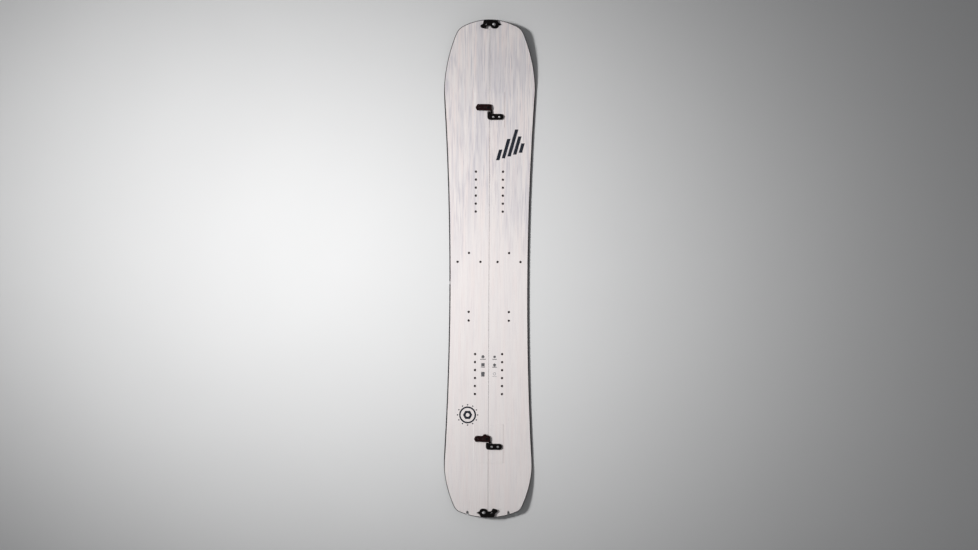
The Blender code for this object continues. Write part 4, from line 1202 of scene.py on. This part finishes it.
def bar(x, y, width, height, lean=0.0):
    """An upright bar on (x, y), whose top leans sideways."""
    half = width / 2
    return [(x - half, y), (x + half, y), (x + half + lean, y + height), (x - half + lean, y + height)]


def add_slanted_mark():
    """A generic mark: five leaning bars of different lengths."""
    x, y = SLANTED_MARK
    shapes = []
    for i, height in enumerate(SLANTED_BARS):
        foot = (x + (i - 2) * SLANTED_PITCH, y + i * SLANTED_RISE)
        shapes.append([bar(*foot, SLANTED_WIDTH, height, SLANTED_LEAN * height)])
    add_ink("right_slanted_mark", "navy_ink", shapes, "right_ski")


def add_round_mark():
    """A ring round a hexagon, with twelve dots outside."""
    hexagon = circle(ROUND_MARK, 15 * MM, 6)
    shapes = [
        [circle(ROUND_MARK, 27 * MM, 72), circle(ROUND_MARK, 22 * MM, 72)],
        [hexagon, circle(ROUND_MARK, 6 * MM, 36)],
    ]
    for x, y in circle(ROUND_MARK, 32 * MM, 12):
        shapes.append([circle((x, y), 2.2 * MM, 16)])
    add_ink("left_round_mark", "navy_ink", shapes, "left_ski")


def add_pictograms():
    """Small plain figures over short bars, in two columns beside the seam."""
    first, second, third = PICTOGRAM_ROWS
    x = PICTOGRAM_X["left"]
    left = [
        [circle((x, first + 2 * MM), 5 * MM, 32)], [bar(x, first - 7 * MM, 18 * MM, 2.2 * MM)],
        [bar(x, second - 2 * MM, 11 * MM, 10 * MM)], [bar(x, second - 6 * MM, 13 * MM, 2.5 * MM)],
        [bar(x, third - 7 * MM, 11 * MM, 15 * MM)],
    ]
    x = PICTOGRAM_X["right"]
    right = [
        [circle((x, first + 2 * MM), 4.5 * MM, 6)], [bar(x, first - 7 * MM, 14 * MM, 2.2 * MM)],
        [circle((x, second + 2 * MM), 6 * MM, 4)], [bar(x, second - 6 * MM, 15 * MM, 2.5 * MM)],
    ]
    pale = [
        [circle((x, third + 2 * MM), 5 * MM, 32), circle((x, third + 2 * MM), 3 * MM, 32)],
        [bar(x, third - 7 * MM, 14 * MM, 1.6 * MM)],
    ]
    add_ink("left_pictograms", "grey_ink", left, "left_ski")
    add_ink("right_pictograms", "grey_ink", right, "right_ski")
    add_ink("right_pale_pictogram", "pale_ink", pale, "right_ski")


# ---------- studio


def add_studio():
    """A pale paper floor, one soft key light from the left and a weak sky."""
    bm = bmesh.new()
    bmesh.ops.create_grid(bm, x_segments=24, y_segments=24, size=9)
    mesh = bpy.data.meshes.new("floor")
    bm.to_mesh(mesh)
    bm.free()
    mesh.materials.append(MATERIALS["paper"])
    floor = bpy.data.objects.new("floor", mesh)
    floor.location.z = -0.05 * MM
    link(floor)

    key = bpy.data.lights.new("key", "AREA")
    key.shape = "DISK"
    key.energy = KEY_POWER
    key.size = KEY_SIZE
    key.spread = KEY_SPREAD
    lamp = bpy.data.objects.new("key", key)
    lamp.location = KEY_PLACE
    lamp.rotation_euler = (KEY_AIM - KEY_PLACE).to_track_quat("-Z", "Y").to_euler()
    link(lamp)

    world = bpy.data.worlds.new("studio")
    world.use_nodes = True
    sky = world.node_tree.nodes["Background"].inputs
    sky["Color"].default_value = (0.97, 0.98, 1.0, 1)
    sky["Strength"].default_value = SKY
    bpy.context.scene.world = world
    bpy.context.scene.view_settings.view_transform = "Standard"


add_camera()
for side_name in SIDES:
    add_half(side_name)
for clip in CLIP_Y:
    add_seam_clip(clip)
add_tip_hook("nose", 1)
add_tip_hook("tail", -1)
add_slanted_mark()
add_round_mark()
add_pictograms()
add_studio()
